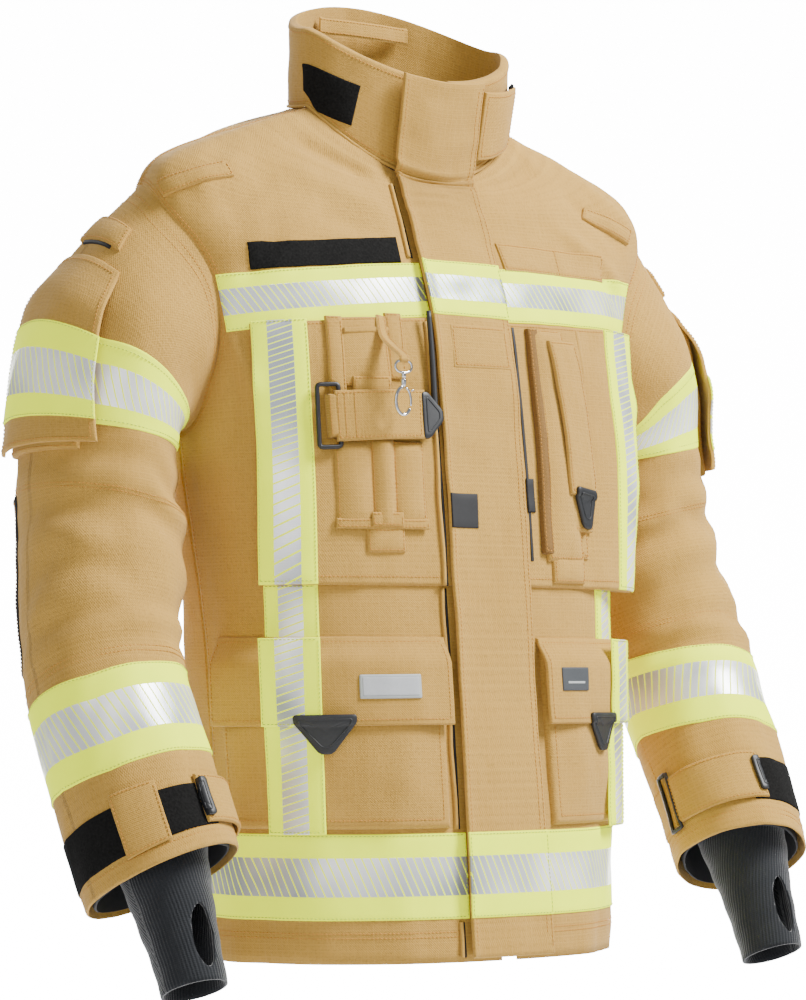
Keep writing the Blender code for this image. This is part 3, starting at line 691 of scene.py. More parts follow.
def resampled(points, count=33):
    """Points at equal steps along a line given in a skin's own coordinates."""
    points = np.asarray(points, float)
    steps = np.linalg.norm(np.diff(points, axis=0), axis=1)
    travel = np.concatenate([[0.0], np.cumsum(steps)])
    t = np.linspace(0, travel[-1], count)
    return np.stack([np.interp(t, travel, points[:, k]) for k in range(2)], -1)


def on_torso(points):
    """A line given as arc length and height, as arc length and ring number."""
    points = resampled(points)
    return np.array([[u, TORSO.level_at(u, z)] for u, z in points])


class Patch:
    """A piece of cloth on a skin, between a lower and an upper line, with rounded edges.

    a runs along the lines and b from the lower one to the upper one, each from 0 to 1.
    """

    def __init__(self, skin, low, high, off, thick, step=0.006, edge=1.2 * MM, puff=0.0, groove=None,
                 closed=False, wobble=0.6 * MM, heights=False):
        self.skin = skin
        self.low, self.high = (on_torso(low), on_torso(high)) if heights else (resampled(low), resampled(high))
        self.off = off
        self.thick = thick
        self.edge = edge
        self.puff = puff
        self.groove = groove
        self.closed = closed
        self.wobble = wobble
        sample = np.linspace(0, 1, 21)
        across = self.base(sample, 0.5 + 0 * sample, 0.0)
        along = self.base(0.5 + 0 * sample, sample, 0.0)
        self.width = np.linalg.norm(np.diff(across, axis=0), axis=1).sum()
        self.height = np.linalg.norm(np.diff(along, axis=0), axis=1).sum()
        self.step = step

    def uv_at(self, a, b):
        places = np.linspace(0, 1, len(self.low))
        u0, v0 = (np.interp(a, places, self.low[:, k]) for k in range(2))
        u1, v1 = (np.interp(a, places, self.high[:, k]) for k in range(2))
        return u0 + (u1 - u0) * b, v0 + (v1 - v0) * b

    def base(self, a, b, off):
        u, v = self.uv_at(a, b)
        off = off + (self.off(a, b) if callable(self.off) else self.off)
        return self.skin.at(u, v, off)

    def top(self, a, b, extra=0.0):
        """A point on the outer face."""
        a, b = np.broadcast_arrays(np.asarray(a, float), np.asarray(b, float))
        if self.closed:
            near = np.minimum(b, 1 - b) * self.height
            side = near
        else:
            side = np.minimum(a, 1 - a) * self.width
            near = np.minimum(side, np.minimum(b, 1 - b) * self.height)
        rise = np.sqrt(np.clip(1 - (1 - np.clip(near / self.edge, 0, 1)) ** 2, 0, 1))
        off = self.thick * (0.15 + 0.85 * rise)
        if self.puff:
            off = off + self.puff * smoothstep(near / (0.35 * min(self.width, self.height)))
        if self.groove:
            off = off - 0.55 * MM * np.exp(-(((near - self.groove) / (1.3 * MM)) ** 2))
        shift = self.wobble * noise(a * self.width / 0.02 + 5, b * self.height / 0.02, 9)
        return self.base(a, b, off + extra + shift * 0.5)

    def mesh(self, name, material, body, uv="cloth", slot=None, replaces=(), filled=False):
        if self.closed:
            count = int(self.width / self.step)
            a = np.arange(count) / count
        else:
            a = fractions(self.width, self.step, self.edge)
        b = fractions(self.height, self.step, self.edge)
        A, B = np.meshgrid(a, b)
        outer = self.top(A, B)
        inner = self.base(A, B, 0.0)
        if filled:
            u, v = self.uv_at(A, B)
            inner = self.skin.at(u, v, 0.8 * MM)
        if uv == "across":
            coordinates = np.stack([A * self.width, B], -1)
        elif uv == "down":
            coordinates = np.stack([B * self.height, A], -1)
        else:
            coordinates = np.stack([A * self.width, B * self.height], -1)
        obj = grid_slab(name, outer, inner, coordinates, material, self.closed)
        return hold(obj, body, slot, replaces)

    def stitch(self, body, inset=4.5 * MM, sides="lrtb", double=0.0, material="thread"):
        """Stitching parallel to the named sides: l and r at the u limits, b and t at the v limits."""
        for gap in [inset] + ([inset + double] if double else []):
            a, b = gap / self.width, gap / self.height
            ends = {"l": ((a, b), (a, 1 - b)), "r": ((1 - a, b), (1 - a, 1 - b)),
                    "b": ((a, b), (1 - a, b)), "t": ((a, 1 - b), (1 - a, 1 - b))}
            for side in sides:
                if self.closed and side in "lr":
                    continue
                (a0, b0), (a1, b1) = ends[side]
                if self.closed:
                    a0, a1 = 0.0, 1.0
                length = self.width if side in "bt" else self.height
                count = max(2, int(length / (3.6 * MM)))
                t = np.linspace(0, 1, count * 4 + 1)
                path = self.top(a0 + (a1 - a0) * t, b0 + (b1 - b0) * t, 0.25 * MM)
                add_stitches(body, path, material)

    def line(self, body, points, material="thread", extra=0.25 * MM):
        """Stitching along a line of (a, b) places."""
        points = np.asarray(points, float)
        path = []
        for (a0, b0), (a1, b1) in zip(points[:-1], points[1:]):
            length = math.hypot((a1 - a0) * self.width, (b1 - b0) * self.height)
            count = max(2, int(length / (0.9 * MM)))
            t = np.linspace(0, 1, count)
            path.append(self.top(a0 + (a1 - a0) * t, b0 + (b1 - b0) * t, extra))
        add_stitches(body, np.concatenate(path), material)

    def frame(self, a, b, extra=0.0):
        """Place, across, up and out at a point on the outer face."""
        p = self.top(a, b, extra)
        out = self.top(a, b, extra + 0.002) - p
        out /= np.linalg.norm(out)
        up = self.top(a, b + 0.004 / self.height, extra) - self.top(a, b - 0.004 / self.height, extra)
        up -= out * (up @ out)
        up /= np.linalg.norm(up)
        across = self.top(a + 0.004 / self.width, b, extra) - self.top(a - 0.004 / self.width, b, extra)
        across -= out * (across @ out)
        across -= up * (across @ up)
        return p, across / np.linalg.norm(across), up, out


def add_stitches(body, path, material="thread", length=2.7 * MM, pitch=3.6 * MM, radius=0.42 * MM):
    steps = np.linalg.norm(np.diff(path, axis=0), axis=1)
    travel = np.concatenate([[0.0], np.cumsum(steps)])
    starts = np.arange(0.0, max(travel[-1] - length, 0.0), pitch)
    if not len(starts):
        return
    def along(s):
        return np.stack([np.interp(s, travel, path[:, k]) for k in range(3)], -1)
    STITCHES.setdefault((body, material), []).append((along(starts), along(starts + length), radius))


def build_stitches():
    """One mesh of small threads for each body."""
    for (body, material), groups in STITCHES.items():
        start = np.concatenate([g[0] for g in groups])
        end = np.concatenate([g[1] for g in groups])
        radius = np.concatenate([np.full(len(g[0]), g[2]) for g in groups])[:, None]
        along = end - start
        along /= np.maximum(np.linalg.norm(along, axis=1), 1e-9)[:, None]
        spare = np.where(np.abs(along[:, 2:3]) < 0.9, [[0.0, 0.0, 1.0]], [[1.0, 0.0, 0.0]])
        one = np.cross(along, spare)
        one /= np.linalg.norm(one, axis=1)[:, None]
        two = np.cross(along, one)
        middle = (start + end) / 2
        quarter = (end - start) * 0.32
        points = [start, end]
        for centre in (middle - quarter, middle + quarter):
            for direction in (one, two, -one, -two):
                points.append(centre + direction * radius)
        points = np.stack(points, 1)
        count = len(start)
        base = (np.arange(count) * 10)[:, None, None]
        faces = []
        for k in range(4):
            m = (k + 1) % 4
            faces.append([2 + k, 2 + m, 6 + m, 6 + k])
        quads = (base + np.array(faces)[None]).reshape(-1, 4).tolist()
        triangles = []
        for k in range(4):
            m = (k + 1) % 4
            triangles.append([0, 2 + m, 2 + k])
            triangles.append([1, 6 + k, 6 + m])
        triangles = (base + np.array(triangles)[None]).reshape(-1, 3).tolist()
        obj = finish_mesh(f"{material}_{body}", points, quads + triangles,
                          {"thread": THREAD, "tape_thread": TAPE_THREAD}.get(material, DARK_THREAD))
        hold(obj, body)


def blob(name, place, outline, thick, material, body, round_edge=0.8 * MM, dome=0.0, slot=None, replaces=(),
         uv_scale=1.0):
    """A flat shape with a rounded edge. place(x, y, off) maps its own flat coordinates on to a surface."""
    outline = np.asarray(outline, float)
    centre = outline.mean(0)
    size = np.linalg.norm(outline - centre, axis=1).mean()
    shrink = 1 - round_edge / size
    rings = [(1.0, 0.0), (1.0, 0.45), (1 - (1 - shrink) * 0.35, 0.85), (shrink, 1.0), (0.8, 1.0), (0.55, 1.0),
             (0.3, 1.0)]
    points = []
    uvs = []
    for scale, lift in rings:
        flat = centre + (outline - centre) * scale
        bulge = dome * (1 - scale**2)
        points.append(place(flat[:, 0], flat[:, 1], thick * lift + bulge))
        uvs.append(flat)
    count = len(outline)
    tip = place(centre[:1], centre[1:2], np.array([thick + dome]))
    foot = place(centre[:1], centre[1:2], np.array([0.0]))
    points = np.concatenate([*points, tip, foot])
    uvs = np.concatenate([*uvs, [centre], [centre]]) * uv_scale
    faces = []
    for r in range(len(rings) - 1):
        for k in range(count):
            m = (k + 1) % count
            faces.append([r * count + k, r * count + m, (r + 1) * count + m, (r + 1) * count + k])
    last = (len(rings) - 1) * count
    peak = len(rings) * count
    for k in range(count):
        m = (k + 1) % count
        faces.append([last + k, last + m, peak])
        faces.append([m, k, peak + 1])
    obj = finish_mesh(name, points, faces, material, uvs)
    return hold(obj, body, slot, replaces)


def rounded(corners, radius, per=5):
    """A closed outline with its corners rounded."""
    corners = np.asarray(corners, float)
    count = len(corners)
    out = []
    for k in range(count):
        p, before, after = corners[k], corners[k - 1], corners[(k + 1) % count]
        r = min(radius, 0.45 * np.linalg.norm(before - p), 0.45 * np.linalg.norm(after - p))
        a = p + (before - p) / np.linalg.norm(before - p) * r
        b = p + (after - p) / np.linalg.norm(after - p) * r
        for t in np.linspace(0, 1, per):
            out.append((1 - t) ** 2 * a + 2 * t * (1 - t) * p + t**2 * b)
    # More points on long sides, so that the shape can bend with what it lies on.
    full = []
    for k, p in enumerate(out):
        q = out[(k + 1) % len(out)]
        pieces = max(1, int(np.linalg.norm(q - p) / 0.006))
        for i in range(pieces):
            full.append(p + (q - p) * i / pieces)
    return np.array(full)


def on_patch(patch, a, b, turn=0.0, extra=0.0):
    """A place() for blob: x and y in metres from a point on a patch, following it."""
    def place(x, y, off):
        x, y = np.asarray(x, float), np.asarray(y, float)
        c, s = math.cos(turn), math.sin(turn)
        return patch.top(a + (x * c - y * s) / patch.width, b + (x * s + y * c) / patch.height, off + extra)
    return place


def on_frame(origin, across, up, out):
    def place(x, y, off):
        x, y, off = np.broadcast_arrays(np.asarray(x, float), np.asarray(y, float), np.asarray(off, float))
        return origin + x[:, None] * across + y[:, None] * up + off[:, None] * out
    return place


def rod(name, path, radius, material, body, closed=False, sides=12, slot=None, replaces=(), flat=1.0, taper=None):
    path = np.asarray(path, float)
    count = len(path)
    rings = []
    normal = None
    for i in range(count):
        if closed:
            tangent = path[(i + 1) % count] - path[i - 1]
        else:
            tangent = path[min(i + 1, count - 1)] - path[max(i - 1, 0)]
        tangent = tangent / np.linalg.norm(tangent)
        if normal is None:
            normal = np.array([0.0, 1.0, 0.0]) if abs(tangent[1]) < 0.9 else np.array([1.0, 0.0, 0.0])
        normal = normal - tangent * (normal @ tangent)
        normal /= np.linalg.norm(normal)
        other = np.cross(tangent, normal)
        turn = np.linspace(0, 2 * math.pi, sides, endpoint=False)
        r = radius * (taper[i] if taper is not None else 1.0)
        rings.append(path[i] + r * (np.cos(turn)[:, None] * normal * flat + np.sin(turn)[:, None] * other))
    faces = []
    for i in range(count if closed else count - 1):
        j = (i + 1) % count
        for k in range(sides):
            m = (k + 1) % sides
            faces.append([i * sides + k, i * sides + m, j * sides + m, j * sides + k])
    points = np.concatenate(rings)
    if not closed:
        faces.append(list(range(sides))[::-1])
        faces.append([(count - 1) * sides + k for k in range(sides)])
    obj = finish_mesh(name, points, faces, material, np.zeros((len(points), 2)))
    return hold(obj, body, slot, replaces)


def bent(points, per=8):
    """A smooth path through points."""
    points = np.asarray(points, float)
    return smooth_rows(points, np.linspace(0, len(points) - 1, (len(points) - 1) * per + 1))


def strip(name, points, half, thick, material, body, out, slot=None, replaces=(), edge=0.6 * MM, stitch=True):
    """A narrow band along a free path, lying flat against the direction out."""
    path = bent(points, 6)
    tangent = np.gradient(path, axis=0)
    tangent /= np.linalg.norm(tangent, axis=1)[:, None]
    out = np.asarray(out, float)
    side = np.cross(tangent, out)
    side /= np.linalg.norm(side, axis=1)[:, None]
    face = np.cross(side, tangent)
    across = np.array([-1.0, -0.93, -0.75, -0.3, 0.3, 0.75, 0.93, 1.0])
    rise = np.array([0.2, 0.75, 1.0, 1.0, 1.0, 1.0, 0.75, 0.2])
    outer = path[:, None] + side[:, None] * (across * half)[None, :, None] + face[:, None] * (rise * thick)[None, :,
                                                                                                            None]
    inner = path[:, None] + side[:, None] * (across * half)[None, :, None] + face[:,
                                                                                  None] * ((1 - rise) * 0.25 * thick)[None, :, None]
    travel = np.concatenate([[0.0], np.cumsum(np.linalg.norm(np.diff(path, axis=0), axis=1))])
    uv = np.stack(np.broadcast_arrays(travel[:, None], (across * half)[None]), -1)
    obj = grid_slab(name, outer, inner, uv, material)
    if stitch:
        for edge_side in (-1, 1):
            line = path + side * edge_side * (half - 1.8 * MM) + face * (thick + 0.2 * MM)
            add_stitches(body, line)
    return hold(obj, body, slot, replaces)


# ---------------------------------------------------------------- the rules for what moves

HOLD["storm_flap"] = ("coat", "storm_flap", (0.0460, -0.17, 0.4), (0.0330, -0.17, 0.4))
HOLD["collar_tab"] = ("coat", "collar_tab", (0.046, -0.10, 0.78), (0.058, -0.098, 0.78))
for word, side in (("left", 1), ("right", -1)):
    HOLD[f"{word}_sleeve"] = ("coat", f"{word}_sleeve", (0.2530 * side, 0.033, 0.565),
                              (0.2942 * side, 0.033, 0.5567))
    HOLD[f"{word}_lower_flap"] = ("coat", f"{word}_lower_flap", (0.0, 0.0, 0.277), (0.0, 0.0, 0.262))
    # A sleeve flap is sewn along its upper edge, which runs round the sleeve; its rule starts just below that edge and
    # points 30 mm down the sleeve.
    angles = np.array([-36.0, -10.0, 15.0, 40.0])
    sewn = SLEEVES[word].at(angles, np.full(4, 0.99), 2.0 * MM)
    down = (SLEEVES[word].at(angles, np.full(4, 1.70), 2.0 * MM) - sewn).mean(0)
    down /= np.linalg.norm(down)
    start = sewn.mean(0) + down * (((sewn - sewn.mean(0)) @ down).max() + 0.003)
    HOLD[f"{word}_sleeve_flap"] = (f"{word}_sleeve", f"{word}_sleeve_flap", tuple(start),
                                   tuple(start + 0.030 * down))
HOLD["left_chest_strap"] = ("coat", "left_chest_strap", (0.0, 0.0, 0.541), (0.0, 0.0, 0.528))
HOLD["hook_strap"] = ("coat", "hook_strap", (0.0, 0.0, 0.551), (0.0, 0.0, 0.540))

SHELL_OFF, TAPE_OFF, PANEL_OFF, ON_PANEL_OFF, FLAP_OFF = 0.0, 1.6 * MM, 2.4 * MM, 6.0 * MM, 7.0 * MM
TAPE_THICK = 1.5 * MM
FRONT = 0.008

# ---------------------------------------------------------------- shell, linings and seams


def panel_rows():
    """Ring numbers, close together where the armhole turns."""
    low, high = ARM_V
    turn = (1 - np.cos(np.linspace(0, math.pi, 60))) / 2
    rows = np.concatenate([np.linspace(0, low, 62), low + (high - low) * turn, np.linspace(high, 11, 44)])
    return np.unique(np.round(rows, 6))


def shell_panel(name, side, slot_name, replaced):
    rows = panel_rows()
    outer, inner, uv = [], [], []
    for v in rows:
        end = panel_edge(v, False)
        u = (FRONT + (end - FRONT) * np.linspace(0, 1, 56)) * side
        near = np.minimum(v, 0.15) / 0.15
        outer.append(TORSO.at(u, np.full_like(u, v), SHELL_OFF + 2.0 * MM * (0.3 + 0.7 * near)))
        inner.append(TORSO.at(u, np.full_like(u, v), SHELL_OFF))
        uv.append(np.stack([u, np.full_like(u, outer[-1][0, 2])], -1))
    obj = grid_slab(name, np.array(outer), np.array(inner), np.array(uv), TAN)
    hold(obj, "coat", slot_name, replaced)


def back_shell():
    rows = panel_rows()
    outer, inner, uv = [], [], []
    for v in rows:
        end = panel_edge(v, True)
        total = TORSO.total(v)
        u = np.linspace(end, 2 * total - end, 101)
        near = min(v, 0.15) / 0.15
        outer.append(TORSO.at(u, np.full_like(u, v), SHELL_OFF + 2.0 * MM * (0.3 + 0.7 * near)))
        inner.append(TORSO.at(u, np.full_like(u, v), SHELL_OFF))
        uv.append(np.stack([u, np.full_like(u, outer[-1][50, 2])], -1))
    obj = grid_slab("back_shell", np.array(outer), np.array(inner), np.array(uv), TAN)
    hold(obj, "coat", "shell_fabric", ["back_panel"])


def lining():
    """The quilted lining inside the body, from near the hem to the collar."""
    rows = np.linspace(0.25, 10.9, 60)
    outer, inner, uv = [], [], []
    for v in rows:
        total = TORSO.total(v)
        u = np.linspace(0.024, 2 * total - 0.024, 141)
        quilt = 0.7 * MM * np.abs(np.sin(u * 2 * math.pi / 0.08 + v * 2.2)) ** 0.5
        outer.append(TORSO.at(u, np.full_like(u, v), -3.4 * MM))
        inner.append(TORSO.at(u, np.full_like(u, v), -5.4 * MM - quilt))
        uv.append(np.stack([u, np.full_like(u, v * 0.07)], -1))
    obj = grid_slab("body_lining", np.array(outer), np.array(inner), np.array(uv), LINING)
    hold(obj, "coat", "lining", ["thermal_liner", "moisture_barrier"])


shell_panel("left_front", 1, "shell_fabric", ["left_front_panel"])
shell_panel("right_front", -1, "shell_fabric", ["right_front_panel"])
back_shell()
lining()

# Seam stitching: sides, shoulders, armholes and hem.
for side in (1, -1):
    for gap in (-3.0 * MM, 3.0 * MM):
        v = np.linspace(0.1, ARM_V[0], 400)
        add_stitches("coat", TORSO.at((panel_edge(v, False) + gap) * side, v, 2.1 * MM))
        v = np.linspace(ARM_V[1], 10.95, 160)
        add_stitches("coat", TORSO.at((panel_edge(v, False) + gap) * side, v, 2.1 * MM))
    closed = np.concatenate([ARM, ARM[:1]])
    middle = ARM.mean(0)
    for grow in (1.045, 1.085):
        ring = middle + (resampled(closed, 721) - middle) * [grow, grow]
        keep = ring[:, 1] < 10.9
        add_stitches("coat", TORSO.at(ring[keep, 0] * side, ring[keep, 1], 2.2 * MM))
    for gap in (0.022, 0.026):
        v = LV(gap)
        u = np.linspace(0.05, TORSO.total(v), 500)
        add_stitches("coat", TORSO.at(u * side, np.full_like(u, v), 2.1 * MM))

for word, side in (("left", 1), ("right", -1)):
    ring = resampled(np.concatenate([ARM, ARM[:1]]), 241)[:-1]
    rod(f"{word}_armhole_seam", TORSO.at(ring[:, 0] * side, ring[:, 1], 0.6 * MM), 2.0 * MM, TAN, "coat",
        closed=True, sides=8)

# ---------------------------------------------------------------- tapes on the body


def cloth(name, low, high, off, thick, body="coat", material=TAN, uv="cloth", stitch="lrtb", inset=3.0 * MM,
          double=0.0, replaces=(), slot="shell_fabric", heights=True, skin=TORSO, filled=False, **more):
    patch = Patch(skin, low, high, off, thick, heights=heights, **more)
    patch.mesh(name, material, body, uv, slot, replaces, filled)
    if stitch:
        patch.stitch(body, inset, stitch, double, "tape_thread" if slot == "reflective_tape" else "thread")
    return patch


def tape(name, low, high, body="coat", off=TAPE_OFF, material=TAPE_ACROSS, uv="across", replaces=(), **more):
    return cloth(name, low, high, off, TAPE_THICK, body, material, uv, inset=1.8 * MM, replaces=replaces,
                 slot="reflective_tape", edge=0.8 * MM, wobble=0.3 * MM, **more)


def rectangle(u0, u1, z0, z1, z2=None, z3=None):
    """Lower and upper lines of a four-sided shape: heights at its left bottom, right bottom, left top, right top."""
    if z2 is None:
        z0, z1, z2, z3 = z0, z0, z1, z1
    return [(u0, z0), (u1, z1)], [(u0, z2), (u1, z3)]


tape("right_chest_tape", [(-0.232, 0.539), (-0.14, 0.549), (-0.040, 0.558)],
     [(-0.238, 0.588), (-0.14, 0.598), (-0.040, 0.607)], replaces=["right_chest_band"])
tape("left_chest_tape", [(0.040, 0.558), (0.13, 0.560), (0.234, 0.561)],
     [(0.040, 0.607), (0.13, 0.610), (0.238, 0.611)], replaces=["left_chest_band"])
low_v = (LV(0.037), LV(0.110))
total = TORSO.total(0.3)
for word, side in (("left", 1), ("right", -1)):
    a, b = (0.040, 0.300) if side > 0 else (-0.300, -0.040)
    tape(f"{word}_hem_tape", [(a, low_v[0]), (b, low_v[0])], [(a, low_v[1]), (b, low_v[1])], heights=False,
         material=TAPE_WIDE, replaces=[f"{word}_hem_band"])
back_arc = 2 * float(total)
tape("back_hem_tape", [(0.298, low_v[0]), (back_arc - 0.298, low_v[0])],
     [(0.298, low_v[1]), (back_arc - 0.298, low_v[1])],
     heights=False, material=TAPE_WIDE, replaces=["back_hem_band"])
v0, v1 = TORSO.level(0.552, 4), TORSO.level(0.602, 4)
reach0, reach1 = float(arm_edge(v0, True)) + 0.006, float(arm_edge(v1, True)) + 0.006
half0, half1 = float(TORSO.total(v0)), float(TORSO.total(v1))
tape("back_chest_tape", [(reach0, v0), (2 * half0 - reach0, v0)], [(reach1, v1), (2 * half1 - reach1, v1)],
     heights=False, replaces=["back_chest_band"])

# ---------------------------------------------------------------- chest panels and the tapes down the fronts



def flare(side, u, height):
    """How far a chest panel stands off: its outer bottom corner most, and the wearer's left one more."""
    far = smoothstep((u - 0.10) / 0.11)
    if side > 0:
        return 17.0 * MM * far * (0.45 + 0.55 * smoothstep((1 - height) / 0.8))
    return 5.0 * MM * far * smoothstep((0.5 - height) / 0.5)


for word, side in (("left", 1), ("right", -1)):
    def sided(u0, u1):
        return (u0, u1) if side > 0 else (-u1, -u0)
    a, b = sided(0.040, 0.2125)
    tops = (0.546, 0.557) if side < 0 else (0.557, 0.560)

    def panel_off(p, q, side=side):
        u = 0.040 + 0.1725 * (p if side > 0 else 1 - p)
        return PANEL_OFF + flare(side, u, q)

    cloth(f"{word}_chest_panel", *rectangle(a, b, 0.322, 0.322, *tops), panel_off, 3.4 * MM, inset=4.5 * MM,
          edge=2.0 * MM, filled=True, replaces=[f"{word}_chest_pocket"])
    near, far = 0.1640, 0.2115
    a, b = sided(near, far)
    tops = (0.5475, 0.5505) if side < 0 else (0.5585, 0.5595)

    def tape_off(p, q, side=side, near=near, far=far):
        return ON_PANEL_OFF - 0.5 * MM + flare(side, near + (far - near) * (p if side > 0 else 1 - p), q)

    tape(f"{word}_upper_tape", *rectangle(a, b, 0.3225, 0.3225, *tops), off=tape_off, material=TAPE_DOWN, uv="down",
         replaces=[f"{word}_upper_vertical_tape"])
    a, b = sided(0.1640, 0.2110) if side < 0 else sided(0.1390, 0.1860)
    tape(f"{word}_middle_tape", *rectangle(a, b, 0.272, 0.3225), material=TAPE_DOWN, uv="down",
         replaces=[f"{word}_lower_vertical_tape"])
    tape(f"{word}_low_tape", *rectangle(a, b, 0.110, 0.206), off=11.5 * MM, material=TAPE_DOWN, uv="down")
    tape(f"{word}_flap_tape", *rectangle(a, b, 0.2015, 0.277), f"{word}_lower_flap", off=17.0 * MM,
         material=TAPE_DOWN, uv="down")

# ---------------------------------------------------------------- lower pockets

LOWER = {}
for word, side in (("left", 1), ("right", -1)):
    a, b = (0.056, 0.246) if side > 0 else (-0.256, -0.056)
    cloth(f"{word}_pocket_bag", *rectangle(a, b, 0.114, 0.268), 1.0 * MM, 6.5 * MM, puff=4.5 * MM, edge=5.0 * MM,
          inset=8.0 * MM, stitch="lrb", replaces=[f"{word}_lower_pocket"])
    a, b = (0.052, 0.252) if side > 0 else (-0.262, -0.052)
    flap = cloth(f"{word}_pocket_flap", *rectangle(a, b, 0.2015, 0.278),
                 lambda p, q: 1.6 * MM + 11.2 * MM * smoothstep((1 - q) / 0.35), 3.0 * MM, f"{word}_lower_flap",
                 inset=5.0 * MM, edge=1.6 * MM, replaces=[f"{word}_lower_flap"])
    LOWER[word] = flap


def plate(name, patch, a, b, width, height, body, thick=1.6 * MM, ink=True):
    """A plain rubber badge; with ink, a thin raised field of lighter grey lies on it."""
    w, h = width / 2, height / 2
    blob(name, on_patch(patch, a, b), rounded([(-w, -h), (w, -h), (w, h), (-w, h)], 1.5 * MM), thick, LABEL, body)
    if ink:
        w2, h2 = w - 2.6 * MM, h - 2.6 * MM
        blob(name + "_field", on_patch(patch, a, b, extra=thick),
             rounded([(-w2, -h2), (w2, -h2), (w2, h2), (-w2, h2)], 1.0 * MM),
             0.4 * MM, LABEL_SHADE, body)


LABEL_SHADE = plain_material("label_shade", (0.40, 0.41, 0.42), 0.5, speckle=0.08, scale=300.0, bump=0.05)
plate("right_flap_badge", LOWER["right"], (0.262 - 0.109) / 0.210, 0.42, 0.056, 0.021, "right_lower_flap")
w, h = 0.0175, 0.0105
blob("left_flap_badge", on_patch(LOWER["left"], (0.085 - 0.052) / 0.200, 0.50),
     rounded([(-w, -h), (w, -h), (w, h), (-w, h)], 1.0 * MM), 1.2 * MM, LABEL_DARK, "left_lower_flap")
blob("left_flap_badge_line", on_patch(LOWER["left"], (0.085 - 0.052) / 0.200, 0.46, extra=1.2 * MM),
     rounded([(-0.011, -0.001), (0.011, -0.001), (0.011, 0.001), (-0.011, 0.001)], 0.3 * MM), 0.3 * MM, LABEL,
     "left_lower_flap")


def pull_tab(name, place, body, wide=0.031, tall=0.030, thick=3.0 * MM):
    """A black rubber pull: wide at its root, narrowing to a rounded tip, with a raised rim."""
    w = wide / 2
    outline = rounded([(-w, 0.003), (w, 0.003), (w, -0.004), (0.0055, -tall), (-0.0055, -tall), (-w, -0.004)],
                      4.0 * MM, 6)
    blob(name, place, outline, thick, RUBBER, body, slot="rubber")
    rim = rounded([(-w + 0.004, -0.001), (w - 0.004, -0.001), (w - 0.006, -0.006), (0.0030, -tall + 0.006),
                   (-0.0030, -tall + 0.006),
                   (-w + 0.006, -0.006)], 2.5 * MM, 4)
    lift = np.full(len(rim), thick)
    rod(name + "_rim", place(rim[:, 0], rim[:, 1], lift), 0.7 * MM, RUBBER, body, closed=True, sides=6)


pull_tab("right_flap_pull", on_patch(LOWER["right"], (0.262 - 0.162) / 0.210, 0.085, extra=4.0 * MM),
         "right_lower_flap", 0.052, 0.031)
pull_tab("left_flap_pull", on_patch(LOWER["left"], (0.124 - 0.052) / 0.200, 0.085, extra=0.6 * MM),
         "left_lower_flap", 0.046, 0.031)

# ---------------------------------------------------------------- storm flap

FLAP_LOW, FLAP_HIGH = -0.043, 0.0435


class Joined(Skin):
    """The torso's front and then the collar's, as one surface that runs from the hem to the collar's top."""

    def at(self, u, v, off=0.0):
        u, v, off = np.broadcast_arrays(np.asarray(u, float), np.asarray(v, float), np.asarray(off, float))
        low = TORSO.at(u, np.minimum(v, 10.6), off)
        high = COLLAR.at(u, np.clip(v - 10.75, 0.25, 2.0), off)
        share = smoothstep((v - 10.6) / 0.5)[..., None]
        return low * (1 - share) + high * share


FRONT_SKIN = Joined()


def flap_off(a, b):
    """The flap stands off its closing edge and lies close along its seam."""
    level = 0.02 + 12.70 * b
    fold = -3.4 * np.exp(-(((level - 10.62 - 0.10 * a) / 0.10) ** 2)) + 2.6 * np.exp(-(((level - 10.86 + 0.12 * a) / 0.09) ** 2))
    fold = fold - 2.2 * np.exp(-(((level - 10.20 + 0.25 * a) / 0.14) ** 2))
    edge = 2.2 * np.exp(-((a / 0.05) ** 2)) + 2.0 * noise(b * 9, a * 1.5, 5) * smoothstep(a / 0.3)
    return FLAP_OFF + (edge + fold + 0.8 * noise(b * 40, a * 2.5, 6)) * MM


flap_levels = (0.02, 12.72)
storm = cloth("storm_flap_cloth", [(FLAP_LOW, flap_levels[0]), (FLAP_HIGH, flap_levels[0])],
              [(FLAP_LOW - 0.002, flap_levels[1]), (FLAP_HIGH, flap_levels[1])], flap_off, 3.4 * MM, "storm_flap",
              heights=False, skin=FRONT_SKIN, edge=2.0 * MM, inset=4.5 * MM, stitch="l", step=0.005,
              replaces=["storm_flap"])
storm.stitch("storm_flap", 3.0 * MM, "r", 5.0 * MM)


def on_flap(u0, u1, z0, z1):
    return [(u0, LV(z0)), (u1, LV(z0))], [(u0, LV(z1)), (u1, LV(z1))]


for name, band, material, node in (("flap_chest_tape", (0.558, 0.607), TAPE_ACROSS, "flap_chest_band"),
                                   ("flap_hem_tape", (0.037, 0.110), TAPE_WIDE, "flap_hem_band")):
    b0 = (LV(band[0]) - flap_levels[0]) / (flap_levels[1] - flap_levels[0])
    b1 = (LV(band[1]) - flap_levels[0]) / (flap_levels[1] - flap_levels[0])
    def follow(a, b, b0=b0, b1=b1):
        return flap_off(a, b0 + (b1 - b0) * b) + 3.0 * MM
    tape(name, *on_flap(FLAP_LOW - 0.0005, FLAP_HIGH, *band), "storm_flap", off=follow, material=material,
         heights=False, replaces=[node])
loop_b = [(LV(z) - flap_levels[0]) / (flap_levels[1] - flap_levels[0]) for z in (0.513, 0.550)]
cloth("flap_loop_patch", *on_flap(-0.026, 0.036, 0.513, 0.550),
      lambda a, b: flap_off(0.2 + 0.7 * a, loop_b[0] + (loop_b[1] - loop_b[0]) * b) + 3.0 * MM, 1.0 * MM,
      "storm_flap",
      heights=False, inset=2.5 * MM)
tab_b = [(LV(z) - flap_levels[0]) / (flap_levels[1] - flap_levels[0]) for z in (0.372, 0.402)]
